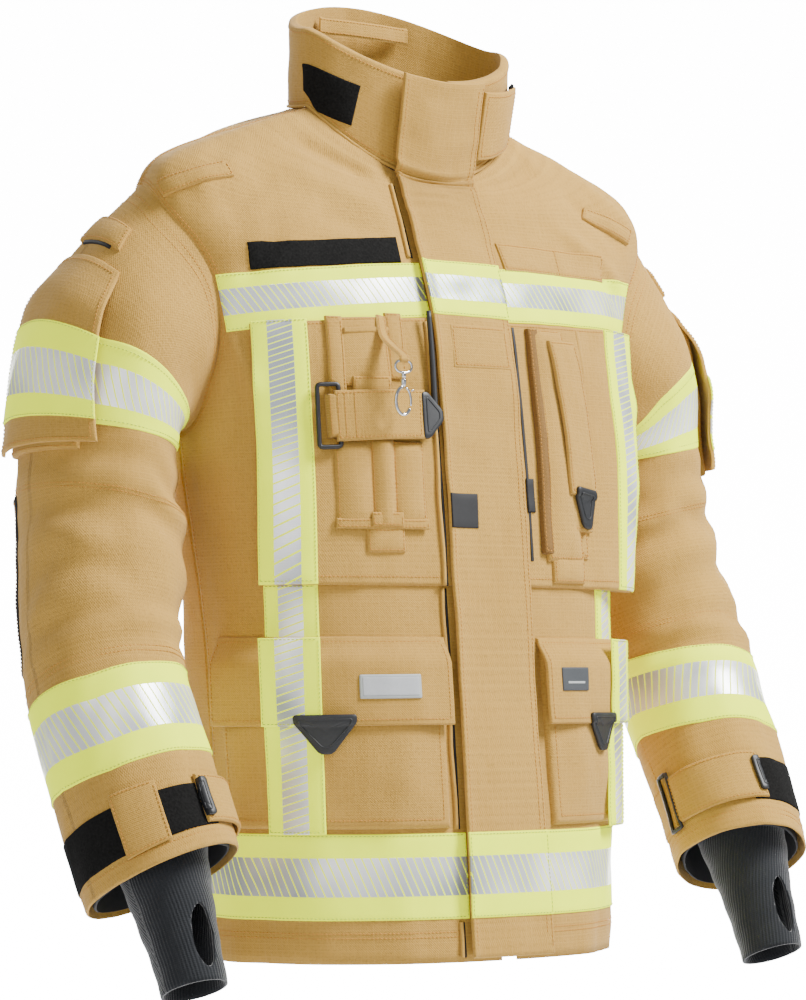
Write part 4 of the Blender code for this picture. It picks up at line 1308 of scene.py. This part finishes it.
cloth("flap_black_tab", *on_flap(-0.0425, -0.012, 0.372, 0.402),
      lambda a, b: flap_off(0.35 * a, tab_b[0] + (tab_b[1] - tab_b[0]) * b) + 3.0 * MM, 1.6 * MM, "storm_flap",
      material=EDGE, heights=False, stitch="", slot="black_plastic")
# A black strip beside the flap's edge on the wearer's left: painted shadow under the flap.
cloth("left_painted_shadow_strip", *rectangle(0.0470, 0.0500, 0.345, 0.345, 0.553, 0.553), PANEL_OFF + 3.2 * MM, 0.8 * MM,
      material=EDGE, stitch="",
      slot="black_plastic", edge=0.4 * MM)
cloth("left_elastic_tab", *rectangle(0.046, 0.055, 0.388, 0.418), PANEL_OFF + 3.0 * MM, 2.4 * MM, material=EDGE,
      stitch="",
      slot="black_plastic")
# A piped ridge along the front edge of the right side, and beside it a black rod that is painted shadow under the
# flap's edge.
for k, (low_z, high_z, lift) in enumerate(((0.004, 0.034, 3.0), (0.113, 0.320, 3.0), (0.322, 0.552, 7.0), (0.611, 0.676, 3.0))):
    z = np.linspace(low_z, high_z, 40)
    path = np.array([TORSO.at(np.array([-0.0500 + 0.0007 * math.sin(t * 60)]), np.array([LV(t)]),
                              lift * MM)[0] for t in z])
    rod(f"front_ridge_{k}", path, 1.9 * MM, TAN, "coat", sides=8)
    # The black rod is painted shadow, drawn where the flap's edge shades the coat.
    dark = np.array([TORSO.at(np.array([-0.0465]), np.array([LV(t)]), (lift - 1.5) * MM)[0] for t in z])
    rod(f"front_painted_shadow_{k}", dark, 1.5 * MM, EDGE, "coat", sides=6)
for word, side in (("left", 1), ("right", -1)):
    levels = np.linspace(LV(0.012), 10.4, 50)
    outer = np.array([TORSO.at(np.linspace(0.001, 0.022, 5) * side, np.full(5, v), -0.6 * MM) for v in levels])
    inner = np.array([TORSO.at(np.linspace(0.001, 0.022, 5) * side, np.full(5, v), -2.2 * MM) for v in levels])
    uv = np.stack(np.broadcast_arrays(np.linspace(0, 0.02, 5)[None], levels[:, None] * 0.05), -1)
    hold(grid_slab(f"zip_{word}", outer, inner, uv, EDGE), "coat", "black_plastic", [f"zip_tape_{word}"])

# The zip's slider and its long soft puller.
ZIP_TOP = np.array([0.0, 0.1 * 0.508 - 0.1565, 0.508])
blob("zip_slider_body", on_frame(ZIP_TOP + np.array([0, -0.001, 0]), np.array([1.0, 0, 0]), np.array([0, 0.1, 0.995]), np.array([0, -0.995, 0.1])),
     rounded([(-0.0045, -0.010), (0.0045, -0.010), (0.0055, 0.008), (-0.0055, 0.008)], 2.0 * MM), 3.0 * MM, PLASTIC,
     "zip_slider",
     slot="black_plastic", replaces=["zip_slider"])

# ---------------------------------------------------------------- collar

half = COLLAR.total(1.0)
arc = 2 * float(half)
cloth("collar_cloth", [(FRONT, 0.0), (arc - FRONT, 0.0)], [(FRONT, 2.0), (arc - FRONT, 2.0)],
               -6.5 * MM, 8.0 * MM, heights=False, skin=COLLAR, edge=4.0 * MM, inset=7.0 * MM, stitch="tb",
               step=0.006,
               replaces=["collar"])
path = np.array([COLLAR.at(np.array([u]), np.array([0.02]), 1.2 * MM)[0] for u in np.linspace(0.03, arc - 0.03,
                                                                                              120)])
rod("collar_seam", path, 1.6 * MM, TAN, "coat", sides=8)
cloth("collar_hook_patch", [(-0.142, 0.40), (-0.128, 0.06), (-0.088, 0.36)],
      [(-0.144, 1.08), (-0.113, 1.20), (-0.082, 1.32)],
      1.4 * MM, 1.6 * MM, heights=False, skin=COLLAR, material=HOOK, stitch="", replaces=["collar_patch"],
      slot="hook_and_loop")
cloth("collar_tab_cloth", [(0.047, 0.30), (0.107, 0.02)], [(0.050, 1.74), (0.114, 1.42)],
      lambda a, b: 4.2 * MM + 3.0 * MM * smoothstep(a / 0.3) * (1 - 0.5 * a), 3.2 * MM, "collar_tab", heights=False,
      skin=COLLAR,
      edge=1.6 * MM, inset=4.0 * MM, replaces=["collar_tab"])
cloth("collar_tab_hook_edge", [(0.100, 1.42), (0.113, 1.36)], [(0.100, 1.55), (0.1135, 1.49)], 4.4 * MM, 2.6 * MM,
      "collar_tab",
      heights=False, skin=COLLAR, material=HOOK, stitch="", slot="hook_and_loop")

# The hanger loop inside the back of the collar.
top = 0.838
path = []
for x, gap in ((-0.050, 0.4), (-0.046, 1.2), (-0.036, 4.0), (-0.020, 9.0), (0.0, 10.5), (0.020, 9.0), (0.036, 4.0),
               (0.046, 1.2), (0.050, 0.4)):
    back = 0.0805 * math.sqrt(1 - (x / 0.112) ** 2) - 7.0 * MM
    path.append((x, back - (gap + 0.5) * MM - 0.0035, top))
strip("hanger_loop_cloth", path, 7.5 * MM, 1.6 * MM, TAN, "coat", (0, -1, 0), "shell_fabric", ["hanger_loop"])

# ---------------------------------------------------------------- wearer's right chest

ON_R = PANEL_OFF + 3.3 * MM
cloth("name_strip_cloth", [(-0.207, 0.593), (-0.060, 0.6055)], [(-0.209, 0.616), (-0.059, 0.6290)], 1.6 * MM,
      1.7 * MM,
      material=HOOK, stitch="", slot="hook_and_loop", replaces=["name_strip"])
cloth("radio_pocket_cloth", [(-0.140, 0.492), (-0.090, 0.495)], [(-0.142, 0.552), (-0.092, 0.554)], ON_R, 3.0 * MM,
      puff=2.0 * MM,
              inset=2.5 * MM, replaces=["radio_pocket"])
cloth("radio_pocket_strap", *rectangle(-0.148, -0.133, 0.480, 0.553), ON_R + 0.5 * MM, 3.6 * MM, inset=2.0 * MM)
cloth("radio_pocket_lip", [(-0.133, 0.538), (-0.091, 0.540)], [(-0.133, 0.5425), (-0.091, 0.5445)], ON_R + 4.4 * MM,
      1.5 * MM, stitch="")
cloth("radio_pocket_flap", [(-0.128, 0.486), (-0.093, 0.487)], [(-0.128, 0.501), (-0.093, 0.502)], ON_R + 3.4 * MM,
      2.4 * MM, inset=2.0 * MM)
cloth("hook_side_fold", *rectangle(-0.0915, -0.075, 0.500, 0.5575), ON_R, 2.6 * MM, inset=2.0 * MM)
TOOL_OFF = ON_R
for k, (u0, u1, z0, z1, puff) in enumerate(((-0.147, -0.113, 0.371, 0.447, 4.0), (-0.116, -0.092, 0.366, 0.450, 5.5), (-0.095, -0.064, 0.374, 0.446, 4.0))):
    cloth(f"tool_pocket_{k}", *rectangle(u0, u1, z0, z1), TOOL_OFF, 3.0 * MM, puff=puff * MM, edge=2.2 * MM,
          inset=2.2 * MM,
          replaces=["tool_pocket"] if k == 0 else ())
cloth("tool_pocket_hem", *rectangle(-0.148, -0.063, 0.370, 0.379), TOOL_OFF + 3.2 * MM, 2.2 * MM, inset=2.0 * MM)
cloth("tool_pocket_loop", *rectangle(-0.121, -0.086, 0.350, 0.376), TOOL_OFF, 2.6 * MM, puff=2.0 * MM,
      inset=2.0 * MM)
cloth("tool_pocket_loop_flap", *rectangle(-0.118, -0.089, 0.372, 0.384), TOOL_OFF + 5.5 * MM, 1.6 * MM,
      inset=1.6 * MM)


def strap_off(a, b):
    return ON_R + 7.5 * MM + 2.0 * MM * np.sin(math.pi * a)


strap = cloth("chest_strap_cloth", [(-0.146, 0.4435), (-0.064, 0.4475)], [(-0.147, 0.4875), (-0.063, 0.4905)],
              strap_off, 3.0 * MM,
              edge=1.5 * MM, inset=2.6 * MM, replaces=["chest_strap"])
strap.line("coat", [(0.10, 0.06), (0.10, 0.94)])
strap.line("coat", [(0.20, 0.06), (0.20, 0.94)])
strap.line("coat", [(0.93, 0.06), (0.93, 0.94)])
cloth("chest_strap_turn", [(-0.152, 0.447), (-0.135, 0.448)], [(-0.153, 0.485), (-0.136, 0.486)], ON_R + 1.0 * MM,
      9.5 * MM, edge=3.0 * MM, stitch="lr",
      inset=2.0 * MM)


def chest_place(u, z, lift):
    def place(x, y, off):
        x, y, off = np.broadcast_arrays(np.asarray(x, float), np.asarray(y, float), np.asarray(off, float))
        levels = np.array([TORSO.level_at(u + p, z + q) for p, q in zip(x, y)])
        return TORSO.at(u + x, levels, lift + off)
    return place


place = chest_place(-0.063, 0.468, ON_R + 8.0 * MM)
tip = rounded([(-0.004, -0.0205), (-0.004, 0.0205), (0.002, 0.0205), (0.0165, 0.0045), (0.0165, -0.0045),
               (0.002, -0.0205)], 3.0 * MM, 6)
blob("chest_strap_pull_tip", place, tip, 3.6 * MM, RUBBER, "coat", slot="rubber", replaces=["chest_strap_pull"])
rim = rounded([(0.000, -0.0145), (0.000, 0.0145), (0.002, 0.0145), (0.0125, 0.0030), (0.0125, -0.0030),
               (0.002, -0.0145)], 2.0 * MM, 4)
rod("chest_strap_pull_rim", place(rim[:, 0], rim[:, 1], np.full(len(rim), 3.6 * MM)), 0.6 * MM, RUBBER, "coat",
    closed=True, sides=6)
# The strap's buckle: a rounded wire loop that shows above and below the strap.
buckle = rounded([(-0.1605, 0.4385), (-0.1420, 0.4395), (-0.1420, 0.4935), (-0.1605, 0.4925)], 3.5 * MM, 6)
points = np.array([TORSO.at(np.array([u]), np.array([TORSO.level_at(u, z)]), ON_R + 7.0 * MM)[0] for u,
                   z in buckle])
rod("chest_strap_buckle_loop", points, 2.1 * MM, PLASTIC, "coat", closed=True, sides=10, slot="black_plastic",
    replaces=["chest_strap_buckle"])

# Hook strap, swivel hook and its gate.
SWIVEL = np.array([-0.099, -0.132, 0.500])
start = TORSO.at(np.array([-0.096]), np.array([TORSO.level_at(-0.096, 0.554)]), 7.5 * MM)[0]
middle = TORSO.at(np.array([-0.098]), np.array([TORSO.level_at(-0.098, 0.535)]), 14.0 * MM)[0]
end = SWIVEL + np.array([0.0, 0.0010, 0.0135])
strip("hook_strap_cloth", [start, middle, (middle + end) / 2 + np.array([0, -0.0025, 0]), end + np.array([0, -0.0012, 0.004]), end], 5.2 * MM, 1.8 * MM, TAN,
      "hook_strap", (0, -1, 0), "shell_fabric", ["hook_strap"])
ring = []
for k in range(28):
    t = 2 * math.pi * k / 28
    ring.append(SWIVEL + np.array([0.0088 * np.sign(math.cos(t)) * abs(math.cos(t)) ** 0.7, 0.0,
                                   0.0095 + 0.0052 * math.sin(t)]))
rod("swivel_ring", ring, 1.15 * MM, CHROME, "hook_strap", closed=True, sides=12, slot="chrome",
    replaces=["snap_hook_ring"])
rod("swivel_stem", [SWIVEL + np.array([0, 0, z]) for z in (0.0045, 0.0030, 0.0015, -0.0002)], 2.2 * MM, CHROME,
    "hook_strap", sides=14)


def hook_point(degrees, grow=1.0):
    turn = math.radians(degrees)
    return SWIVEL + np.array([0.0080 * grow * math.cos(turn), 0.0, -0.0200 + 0.0120 * grow * math.sin(turn)])


barrel = [SWIVEL + np.array([0, 0, z]) for z in (-0.0008, -0.0018, -0.0035, -0.0055, -0.0072, -0.0082)]
rod("swivel_barrel", barrel, 2.6 * MM, CHROME, "snap_hook", sides=16, taper=[0.75, 1.0, 1.0, 0.9, 0.75, 0.5])
path = [hook_point(d) for d in range(96, 333, 8)]
rod("swivel_hook", path, 1.55 * MM, CHROME, "snap_hook", sides=12, slot="chrome", replaces=["snap_hook_body"])
path = [hook_point(d) for d in (72, 58, 44, 30, 16, 2, -12, -20)]
rod("swivel_gate", path, 1.15 * MM, CHROME, "snap_hook_gate", sides=10, slot="chrome", replaces=["snap_hook_gate"])
knob = hook_point(40) + np.array([0.0016, -0.0008, 0.0010])
rod("swivel_knob", [knob, knob + np.array([0.0022, -0.0008, 0.0012])], 0.9 * MM, CHROME, "snap_hook_gate", sides=10)

# ---------------------------------------------------------------- wearer's left chest

cloth("instrument_loop_cloth", [(0.056, 0.606), (0.186, 0.606)], [(0.053, 0.632), (0.186, 0.631)], 1.6 * MM,
      2.2 * MM, inset=2.4 * MM,
      replaces=["instrument_loop"]).line("coat", [(0.52, 0.04), (0.52, 0.96)])
cloth("left_pocket_cover", [(0.066, 0.345), (0.112, 0.345)], [(0.066, 0.552), (0.104, 0.552)], ON_R, 4.0 * MM,
      puff=4.0 * MM, edge=2.5 * MM, inset=2.2 * MM)
# The gusset uses the darker copy of the tan cloth, painted shade inside the pocket's side.
cloth("left_pocket_gusset", [(0.060, 0.352), (0.072, 0.350)], [(0.062, 0.552), (0.074, 0.552)], ON_R, 5.0 * MM,
      inset=2.0 * MM, material=TAN_PAINTED_SHADE)
strap_left = cloth("left_strap_cloth", [(0.092, 0.405), (0.128, 0.400)], [(0.080, 0.541), (0.112, 0.541)],
                   lambda a, b: ON_R + 8.0 * MM + 2.0 * MM * np.sin(math.pi * b), 3.0 * MM, "left_chest_strap",
                   inset=2.6 * MM, edge=1.5 * MM,
                   replaces=["left_chest_strap"])
cloth("left_strap_under", [(0.088, 0.372), (0.126, 0.372)], [(0.084, 0.520), (0.120, 0.520)], ON_R + 1.0 * MM,
      5.5 * MM, puff=1.5 * MM, inset=2.2 * MM)
box_patch = cloth("left_cross_box", *rectangle(0.086, 0.121, 0.348, 0.374), ON_R, 3.2 * MM, inset=2.2 * MM)
box_patch.line("coat", [(0.10, 0.10), (0.90, 0.90)])
box_patch.line("coat", [(0.10, 0.90), (0.90, 0.10)])
cloth("left_bottom_loop", *rectangle(0.072, 0.114, 0.326, 0.350), ON_R, 3.0 * MM, puff=2.0 * MM, inset=2.2 * MM)
place = on_patch(strap_left, 0.52, 0.02, extra=0.4 * MM)
pull_tab("left_strap_pull", place, "left_chest_strap", 0.026, 0.022, 2.8 * MM)
for k, u in enumerate((0.136, 0.148)):
    cloth(f"left_pleat_{k}", [(u, 0.330), (u + 0.006, 0.330)], [(u - 0.010, 0.556), (u - 0.004, 0.556)],
          ON_R - 0.6 * MM, 2.6 * MM, edge=2.2 * MM, stitch="")

# ---------------------------------------------------------------- shoulders

for word, side, ends in (("right", -1, ((-0.281, 7.36), (-0.215, 8.24))),
                         ("left", 1, ((0.240, 7.36), (0.180, 8.24)))):
    (u0, v0), (u1, v1) = ends
    # The strip's width runs square to its length on the surface.
    d = np.array([u1 - u0, (v1 - v0)])
    scale = np.linalg.norm(TORSO.at(u0, v0 + 0.1) - TORSO.at(u0, v0)) / 0.1
    n = np.array([-(d[1] * scale), d[0]])
    n /= np.linalg.norm(n)
    n = np.array([n[0], n[1] / scale]) * 0.0075
    cloth(f"{word}_shoulder_strip", [(u0 - n[0], v0 - n[1]), (u1 - n[0], v1 - n[1])],
          [(u0 + n[0], v0 + n[1]), (u1 + n[0], v1 + n[1])],
          1.6 * MM, 3.6 * MM, heights=False, inset=2.2 * MM, replaces=[f"{word}_shoulder_loop"])

# ---------------------------------------------------------------- sleeves

for word, side in (("left", 1), ("right", -1)):
    skin = SLEEVES[word]
    body = f"{word}_sleeve"

    def piece(name, low, high, off, thick, **more):
        """low and high are given from the outer side to the inner one."""
        if side > 0:
            low, high = low[::-1], high[::-1]
        scaled = dict(heights=False, skin=skin)
        return cloth(name, low, high, off, thick, more.pop("body", body), **scaled, **more)

    sleeve = Patch(skin, [(0, 9.0), (360, 9.0)], [(0, 0.0), (360, 0.0)], 0.0, 2.0 * MM, closed=True, edge=1.6 * MM,
                   step=0.005)
    sleeve.mesh(f"{word}_sleeve_cloth", TAN, body, slot="shell_fabric", replaces=[f"{word}_sleeve"])
    inner = Patch(skin, [(0, 8.97), (360, 8.97)], [(0, 0.6), (360, 0.6)], -7.5 * MM, 2.0 * MM, closed=True,
                  step=0.009)
    inner.mesh(f"{word}_sleeve_lining", LINING, body, slot="lining")
    for q in (8.86, 8.80):
        angles = np.linspace(0, 360, 400)
        add_stitches(body, skin.at(angles, np.full(400, q), 2.0 * MM))
    # Elbow seams and the long seams front and back.
    for q0, q1 in (((4.0, 4.5), (6.85, 6.80)) if side < 0 else ((4.0, 4.3), (6.30, 6.10))):
        for gap in (0.0, 0.07):
            angles = np.linspace(-60, 200, 400)
            levels = q0 + (q1 - q0) * (angles + 24) / 164 + gap
            add_stitches(body, skin.at(angles, levels, 2.0 * MM))
    q = np.linspace(0.25, 8.8, 900)
    add_stitches(body, skin.at(np.full(900, 196.0), q, 2.0 * MM))
    add_stitches(body, skin.at(np.full(900, -42.0), q, 2.0 * MM), "dark_thread")
    for gap in (0.10, 0.20):
        angles = np.linspace(0, 360, 500)
        add_stitches(body, skin.at(angles, np.full(500, 0.06 + gap), 2.0 * MM))

    # Upper and forearm tapes, all round.
    if side < 0:
        upper_top = [(0, 1.85), (44, 1.80), (118, 1.35), (180, 1.45), (250, 1.80), (316, 1.85), (360, 1.85)]
        upper_low = [(0, 3.05), (42, 3.05), (138, 3.10), (180, 3.10), (250, 3.05), (316, 3.05), (360, 3.05)]
        fore_top = [(0, 7.05), (46, 7.10), (114, 7.00), (180, 6.90), (250, 6.95), (336, 7.05), (360, 7.05)]
        fore_low = [(0, 8.00), (44, 8.05), (118, 8.00), (180, 7.90), (250, 7.90), (328, 7.97), (360, 8.00)]
    else:
        upper_top = [(0, 1.75), (70, 1.40), (100, 1.25), (180, 1.35), (250, 1.70), (316, 1.75), (360, 1.75)]
        upper_low = [(0, 2.95), (70, 2.90), (128, 2.80), (180, 2.90), (250, 2.95), (316, 2.95), (360, 2.95)]
        fore_top = [(0, 6.80), (70, 6.80), (112, 6.70), (188, 6.45), (250, 6.55), (320, 6.75), (360, 6.80)]
        fore_low = [(0, 7.80), (62, 7.80), (138, 7.70), (196, 7.50), (250, 7.58), (320, 7.75), (360, 7.80)]
    for name, top, low, node in ((f"{word}_arm_tape", upper_top, upper_low, f"{word}_upper_sleeve_tape"),
                                 (f"{word}_forearm_band", fore_top, fore_low, f"{word}_forearm_tape")):
        band = Patch(skin, low, top, 1.4 * MM, TAPE_THICK, closed=True, edge=0.8 * MM, wobble=0.3 * MM, step=0.005)
        band.mesh(name, TAPE_WIDE, body, "across", "reflective_tape", [node])
        band.stitch(body, 1.8 * MM, "bt", 0.0, "tape_thread")

    # Pocket on the upper sleeve, with its flap and the tape over the flap.
    piece(f"{word}_arm_pocket", [(-34, 3.45), (40, 3.55)], [(-34, 1.15), (38, 1.15)], 1.5 * MM, 5.0 * MM,
          puff=5.0 * MM, edge=3.0 * MM,
          inset=4.0 * MM, replaces=[f"{word}_sleeve_pocket"])
    flap_body = f"{word}_sleeve_flap"

    def lid(a, b):
        return 1.8 * MM + 11.0 * MM * smoothstep((1 - b) / 0.25)

    piece(f"{word}_arm_flap", [(-38, 3.40), (54, 3.45)], [(-36, 0.98), (40, 1.00)], lid, 3.2 * MM, body=flap_body,
                      edge=1.8 * MM, inset=5.0 * MM, replaces=[f"{word}_sleeve_flap"])
    piece(f"{word}_arm_flap_tape", [(-37.5, 2.95), (51.5, 3.00)], [(-37, 1.80), (46, 1.82)], 15.7 * MM, TAPE_THICK,
          body=flap_body,
          material=TAPE_WIDE, uv="across", slot="reflective_tape", inset=1.8 * MM, edge=0.8 * MM, wobble=0.3 * MM)
    # A small loop above the pocket, and a dark strip behind the elbow.
    piece(f"{word}_arm_loop", [(-14, 0.80), (32, 0.80)], [(-16, 0.50), (30, 0.50)], 1.5 * MM, 3.6 * MM,
          puff=1.5 * MM, inset=2.2 * MM)
    piece(f"{word}_arm_loop_edge", [(-8, 0.84), (24, 0.84)], [(-8, 0.79), (24, 0.79)], 1.5 * MM, 2.0 * MM,
          material=EDGE, stitch="", slot="black_plastic")
    piece(f"{word}_elbow_patch", [(-80, 6.60), (-28, 6.60)], [(-80, 4.10), (-28, 4.10)], 1.2 * MM, 2.4 * MM,
          material=EDGE, inset=3.0 * MM,
          slot="black_plastic", edge=1.6 * MM)

    # Cuff: black strip, tan strap with a wire buckle and a rubber pull.
    cuff = ((8.30, 8.80), (8.30, 8.80)) if side < 0 else ((8.05, 8.62), (8.15, 8.70))
    (q1, q0), (r1, r0) = cuff
    piece(f"{word}_cuff_strip", [(-60, q0 + 0.02), (112, r0)], [(-60, q1 + 0.06), (112, r1 + 0.06)], 1.6 * MM,
          1.6 * MM, material=HOOK, stitch="",
          slot="hook_and_loop")
    strap_body = f"{word}_cuff_strap"
    HOLD[strap_body] = (body, strap_body, tuple(skin.at(176.0, 8.4)), tuple(skin.at(164.0, 8.4)))
    strap_piece = piece(f"{word}_cuff_strap_cloth", [(100, r0 - 0.02), (178, r0 + 0.02)],
                        [(100, r1 - 0.02), (178, r1)],
                        lambda a, b: 3.4 * MM + 2.0 * MM * np.sin(math.pi * a), 3.0 * MM, body=strap_body,
                        edge=1.4 * MM, inset=2.6 * MM,
                        replaces=[f"{word}_cuff_strap"])
    piece(f"{word}_cuff_strap_end", [(182, r0 + 0.02), (215, r0 + 0.02)], [(182, r1), (215, r1)], 1.6 * MM,
          2.6 * MM, inset=2.6 * MM)
    if side < 0:
        piece(f"{word}_cuff_keeper", [(36, r0 + 0.06), (70, r0 + 0.04)], [(36, r1 - 0.04), (70, r1 - 0.04)],
              3.4 * MM, 2.0 * MM, inset=2.2 * MM)
    corners = [(188, r1 - 0.07), (188, r0 + 0.07), (177, r0 + 0.07), (177, r1 - 0.07)]
    path = []
    for (a0, s0), (a1, s1) in zip(corners, corners[1:] + corners[:1]):
        for t in np.linspace(0, 1, 7)[:-1]:
            path.append(skin.at(a0 + (a1 - a0) * t, s0 + (s1 - s0) * t, 6.0 * MM))
    rod(f"{word}_cuff_buckle", path, 1.9 * MM, PLASTIC, body, closed=True, sides=8, slot="black_plastic")
    turn = math.pi / 2 if side > 0 else -math.pi / 2
    place = on_patch(strap_piece, 0.05 if side < 0 else 0.95, 0.5, turn=turn, extra=0.6 * MM)
    pull_tab(f"{word}_cuff_pull", place, strap_body, 0.034, 0.024, 3.0 * MM)

    # Knit wristlet with its thumb hole.
    rows, count = 44, 72
    angles = np.linspace(0, 2 * math.pi, count, endpoint=False)
    outer, inner, uv = [], [], []
    for share in np.linspace(0, 1, rows):
        centre = np.array([0.3230, -0.084, 0.125]) * (1 - share) + np.array([0.3180, -0.142, -0.010]) * share
        radius = 0.045 - 0.018 * share - 0.003 * math.sin(math.pi * share)
        lean = np.array([0.0, -1.0, 0.42])
        wave = 1 + 0.020 * noise(angles * 1.6, np.full(count, share * 5),
                                 50) + 0.012 * np.sin(share * 34 + np.sin(angles) * 2)
        around = np.cos(angles)[:, None] * [1.0, 0, 0] + np.sin(angles)[:, None] * lean
        outer.append(centre + around * (radius * wave)[:, None])
        inner.append(centre + around * (radius * wave - 2.4 * MM)[:, None])
        uv.append(np.stack([angles * radius, np.full(count, share * 0.14)], -1))
    outer, inner = np.array(outer) * [side, 1, 1], np.array(inner) * [side, 1, 1]
    knit = grid_slab(f"{word}_knit_wristlet", outer, inner, np.array(uv), KNIT, closed=True)
    # The hole is cut through the wall with an oval prism.
    hole = []
    x0, z0 = (0.3190, 0.036)
    for depth in (0.0, 0.10):
        for turn_by in np.linspace(0, 2 * math.pi, 24, endpoint=False):
            hole.append([(x0 - 0.010 * math.cos(turn_by)) * side, -0.126 - depth, z0 + 0.025 * math.sin(turn_by)])
    faces = [list(range(24)), list(range(24, 48))] + [[k, (k + 1) % 24, 24 + (k + 1) % 24, 24 + k] for k in range(24)]
    cutter = finish_mesh(f"{word}_hole", hole, faces, KNIT)
    modifier = knit.modifiers.new("hole", "BOOLEAN")
    modifier.operation = "DIFFERENCE"
    modifier.solver = "EXACT"
    modifier.object = cutter
    bpy.context.view_layer.update()
    knit.data = bpy.data.meshes.new_from_object(knit.evaluated_get(bpy.context.evaluated_depsgraph_get()))
    knit.modifiers.clear()
    bpy.data.objects.remove(cutter)
    hold(knit, body, "knit", [f"{word}_wristlet"])

# The zip's long puller hangs beside the flap. It is set out from the front by enough to pass the hem tape as it slides,
# but at rest it still touches front_ridge_2 and chest_strap_pull_tip.
slide = next(joint for joint in frame["record"]["behaviour"]["joints"] if joint["name"] == "zip_slide")
travel = np.array(slide["axis"]) * slide["range_m"][1]
puller = []
for t in np.linspace(0, 1, 16):
    u = -0.0515 + 0.0010 * math.sin(3 * t)
    point = TORSO.at(np.array([u]), np.array([LV(0.560 - 0.092 * t)]), 9.0 * MM)[0]
    way = point + np.linspace(0, 1, 31)[:, None] * travel
    front = TORSO.at(np.full(31, u), np.array([float(LV(z)) for z in way[:, 2]]), 9.5 * MM)
    point[1] += min(0.0, float((front - way)[:, 1].min()))
    puller.append(point)
rod("zip_puller", puller, 2.5 * MM, RUBBER, "zip_slider", sides=12, slot="rubber", taper=np.linspace(0.9, 1.15, 16))

build_stitches()

# ---------------------------------------------------------------- a line down the middle of the storm flap

spine = FRONT_SKIN.at(np.zeros(400), np.linspace(*flap_levels, 400), FLAP_OFF)

# ---------------------------------------------------------------- size

low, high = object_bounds()
({"cad": [list(map(float, CAD_LOW)), list(map(float, CAD_HIGH))],
           "shown": [list(map(float, low)), list(map(float, high))]})

# ---------------------------------------------------------------- floor, world, lights and camera

def glowing(name, strength):
    material = bpy.data.materials.new(name)
    material.use_nodes = True
    principled = material.node_tree.nodes["Principled BSDF"]
    principled.inputs["Base Color"].default_value = (0.9, 0.9, 0.9, 1.0)
    principled.inputs["Emission Color"].default_value = (1.0, 1.0, 1.0, 1.0)
    principled.inputs["Emission Strength"].default_value = strength
    return material


def stage_plane(name, corners, material):
    obj = bpy.data.objects.new(name, bpy.data.meshes.new(name))
    obj.data.from_pydata(corners, [], [(0, 1, 2, 3)])
    obj.data.materials.append(material)
    bpy.context.scene.collection.objects.link(obj)


stage_plane("floor", [(-60, -60, -2.3), (60, -60, -2.3), (60, 60, -2.3), (-60, 60, -2.3)], glowing("floor", 0.3))
# A bright wall well behind the coat, square to the view.
VIEW_ANGLE = math.radians(37)
CAMERA_DISTANCE = 3.2
BEHIND = Vector((math.sin(VIEW_ANGLE), math.cos(VIEW_ANGLE), 0.0))
ASIDE = Vector((math.cos(VIEW_ANGLE), -math.sin(VIEW_ANGLE), 0.0))
wall = [BEHIND * 9 + ASIDE * x + Vector((0, 0, z)) for x, z in ((-4, -2.3), (4, -2.3), (4, 5.0), (-4, 5.0))]
stage_plane("backdrop", [tuple(p) for p in wall], glowing("backdrop", 14.0))

studio = bpy.data.worlds.new("studio")
bpy.context.scene.world = studio
studio.use_nodes = True
background = studio.node_tree.nodes["Background"]
background.inputs[0].default_value = (1.0, 1.0, 1.0, 1.0)
background.inputs[1].default_value = 0.38


def area_light(name, place, size, power, colour=(1.0, 1.0, 1.0)):
    data = bpy.data.lights.new(name, "AREA")
    data.shape = "RECTANGLE"
    data.size, data.size_y = size
    data.energy = power
    data.color = colour
    obj = bpy.data.objects.new(name, data)
    obj.location = place
    obj.rotation_euler = (Vector((0.0, -0.06, -0.43)) - Vector(place)).to_track_quat("-Z", "Y").to_euler()
    bpy.context.scene.collection.objects.link(obj)


area_light("key", (1.5, -2.0, 2.1), (1.0, 1.4), 365)
area_light("fill", (-2.4, -2.2, 0.2), (1.6, 2.0), 26)
area_light("rim", (-0.6, 2.2, 1.6), (1.6, 1.0), 40)

camera_data = bpy.data.cameras.new("camera")
camera = bpy.data.objects.new("camera", camera_data)
place = Vector((-math.sin(VIEW_ANGLE) * CAMERA_DISTANCE, -math.cos(VIEW_ANGLE) * CAMERA_DISTANCE,
                0.245)) - Vector(HANG_POINT)
aim = Vector((0.0, 0.0, 0.403)) - Vector(HANG_POINT)
camera.location = place
camera.rotation_euler = (aim - place).to_track_quat("-Z", "Y").to_euler()
camera_data.lens = 127.9
camera_data.sensor_width = 36
bpy.context.scene.collection.objects.link(camera)
bpy.context.scene.camera = camera
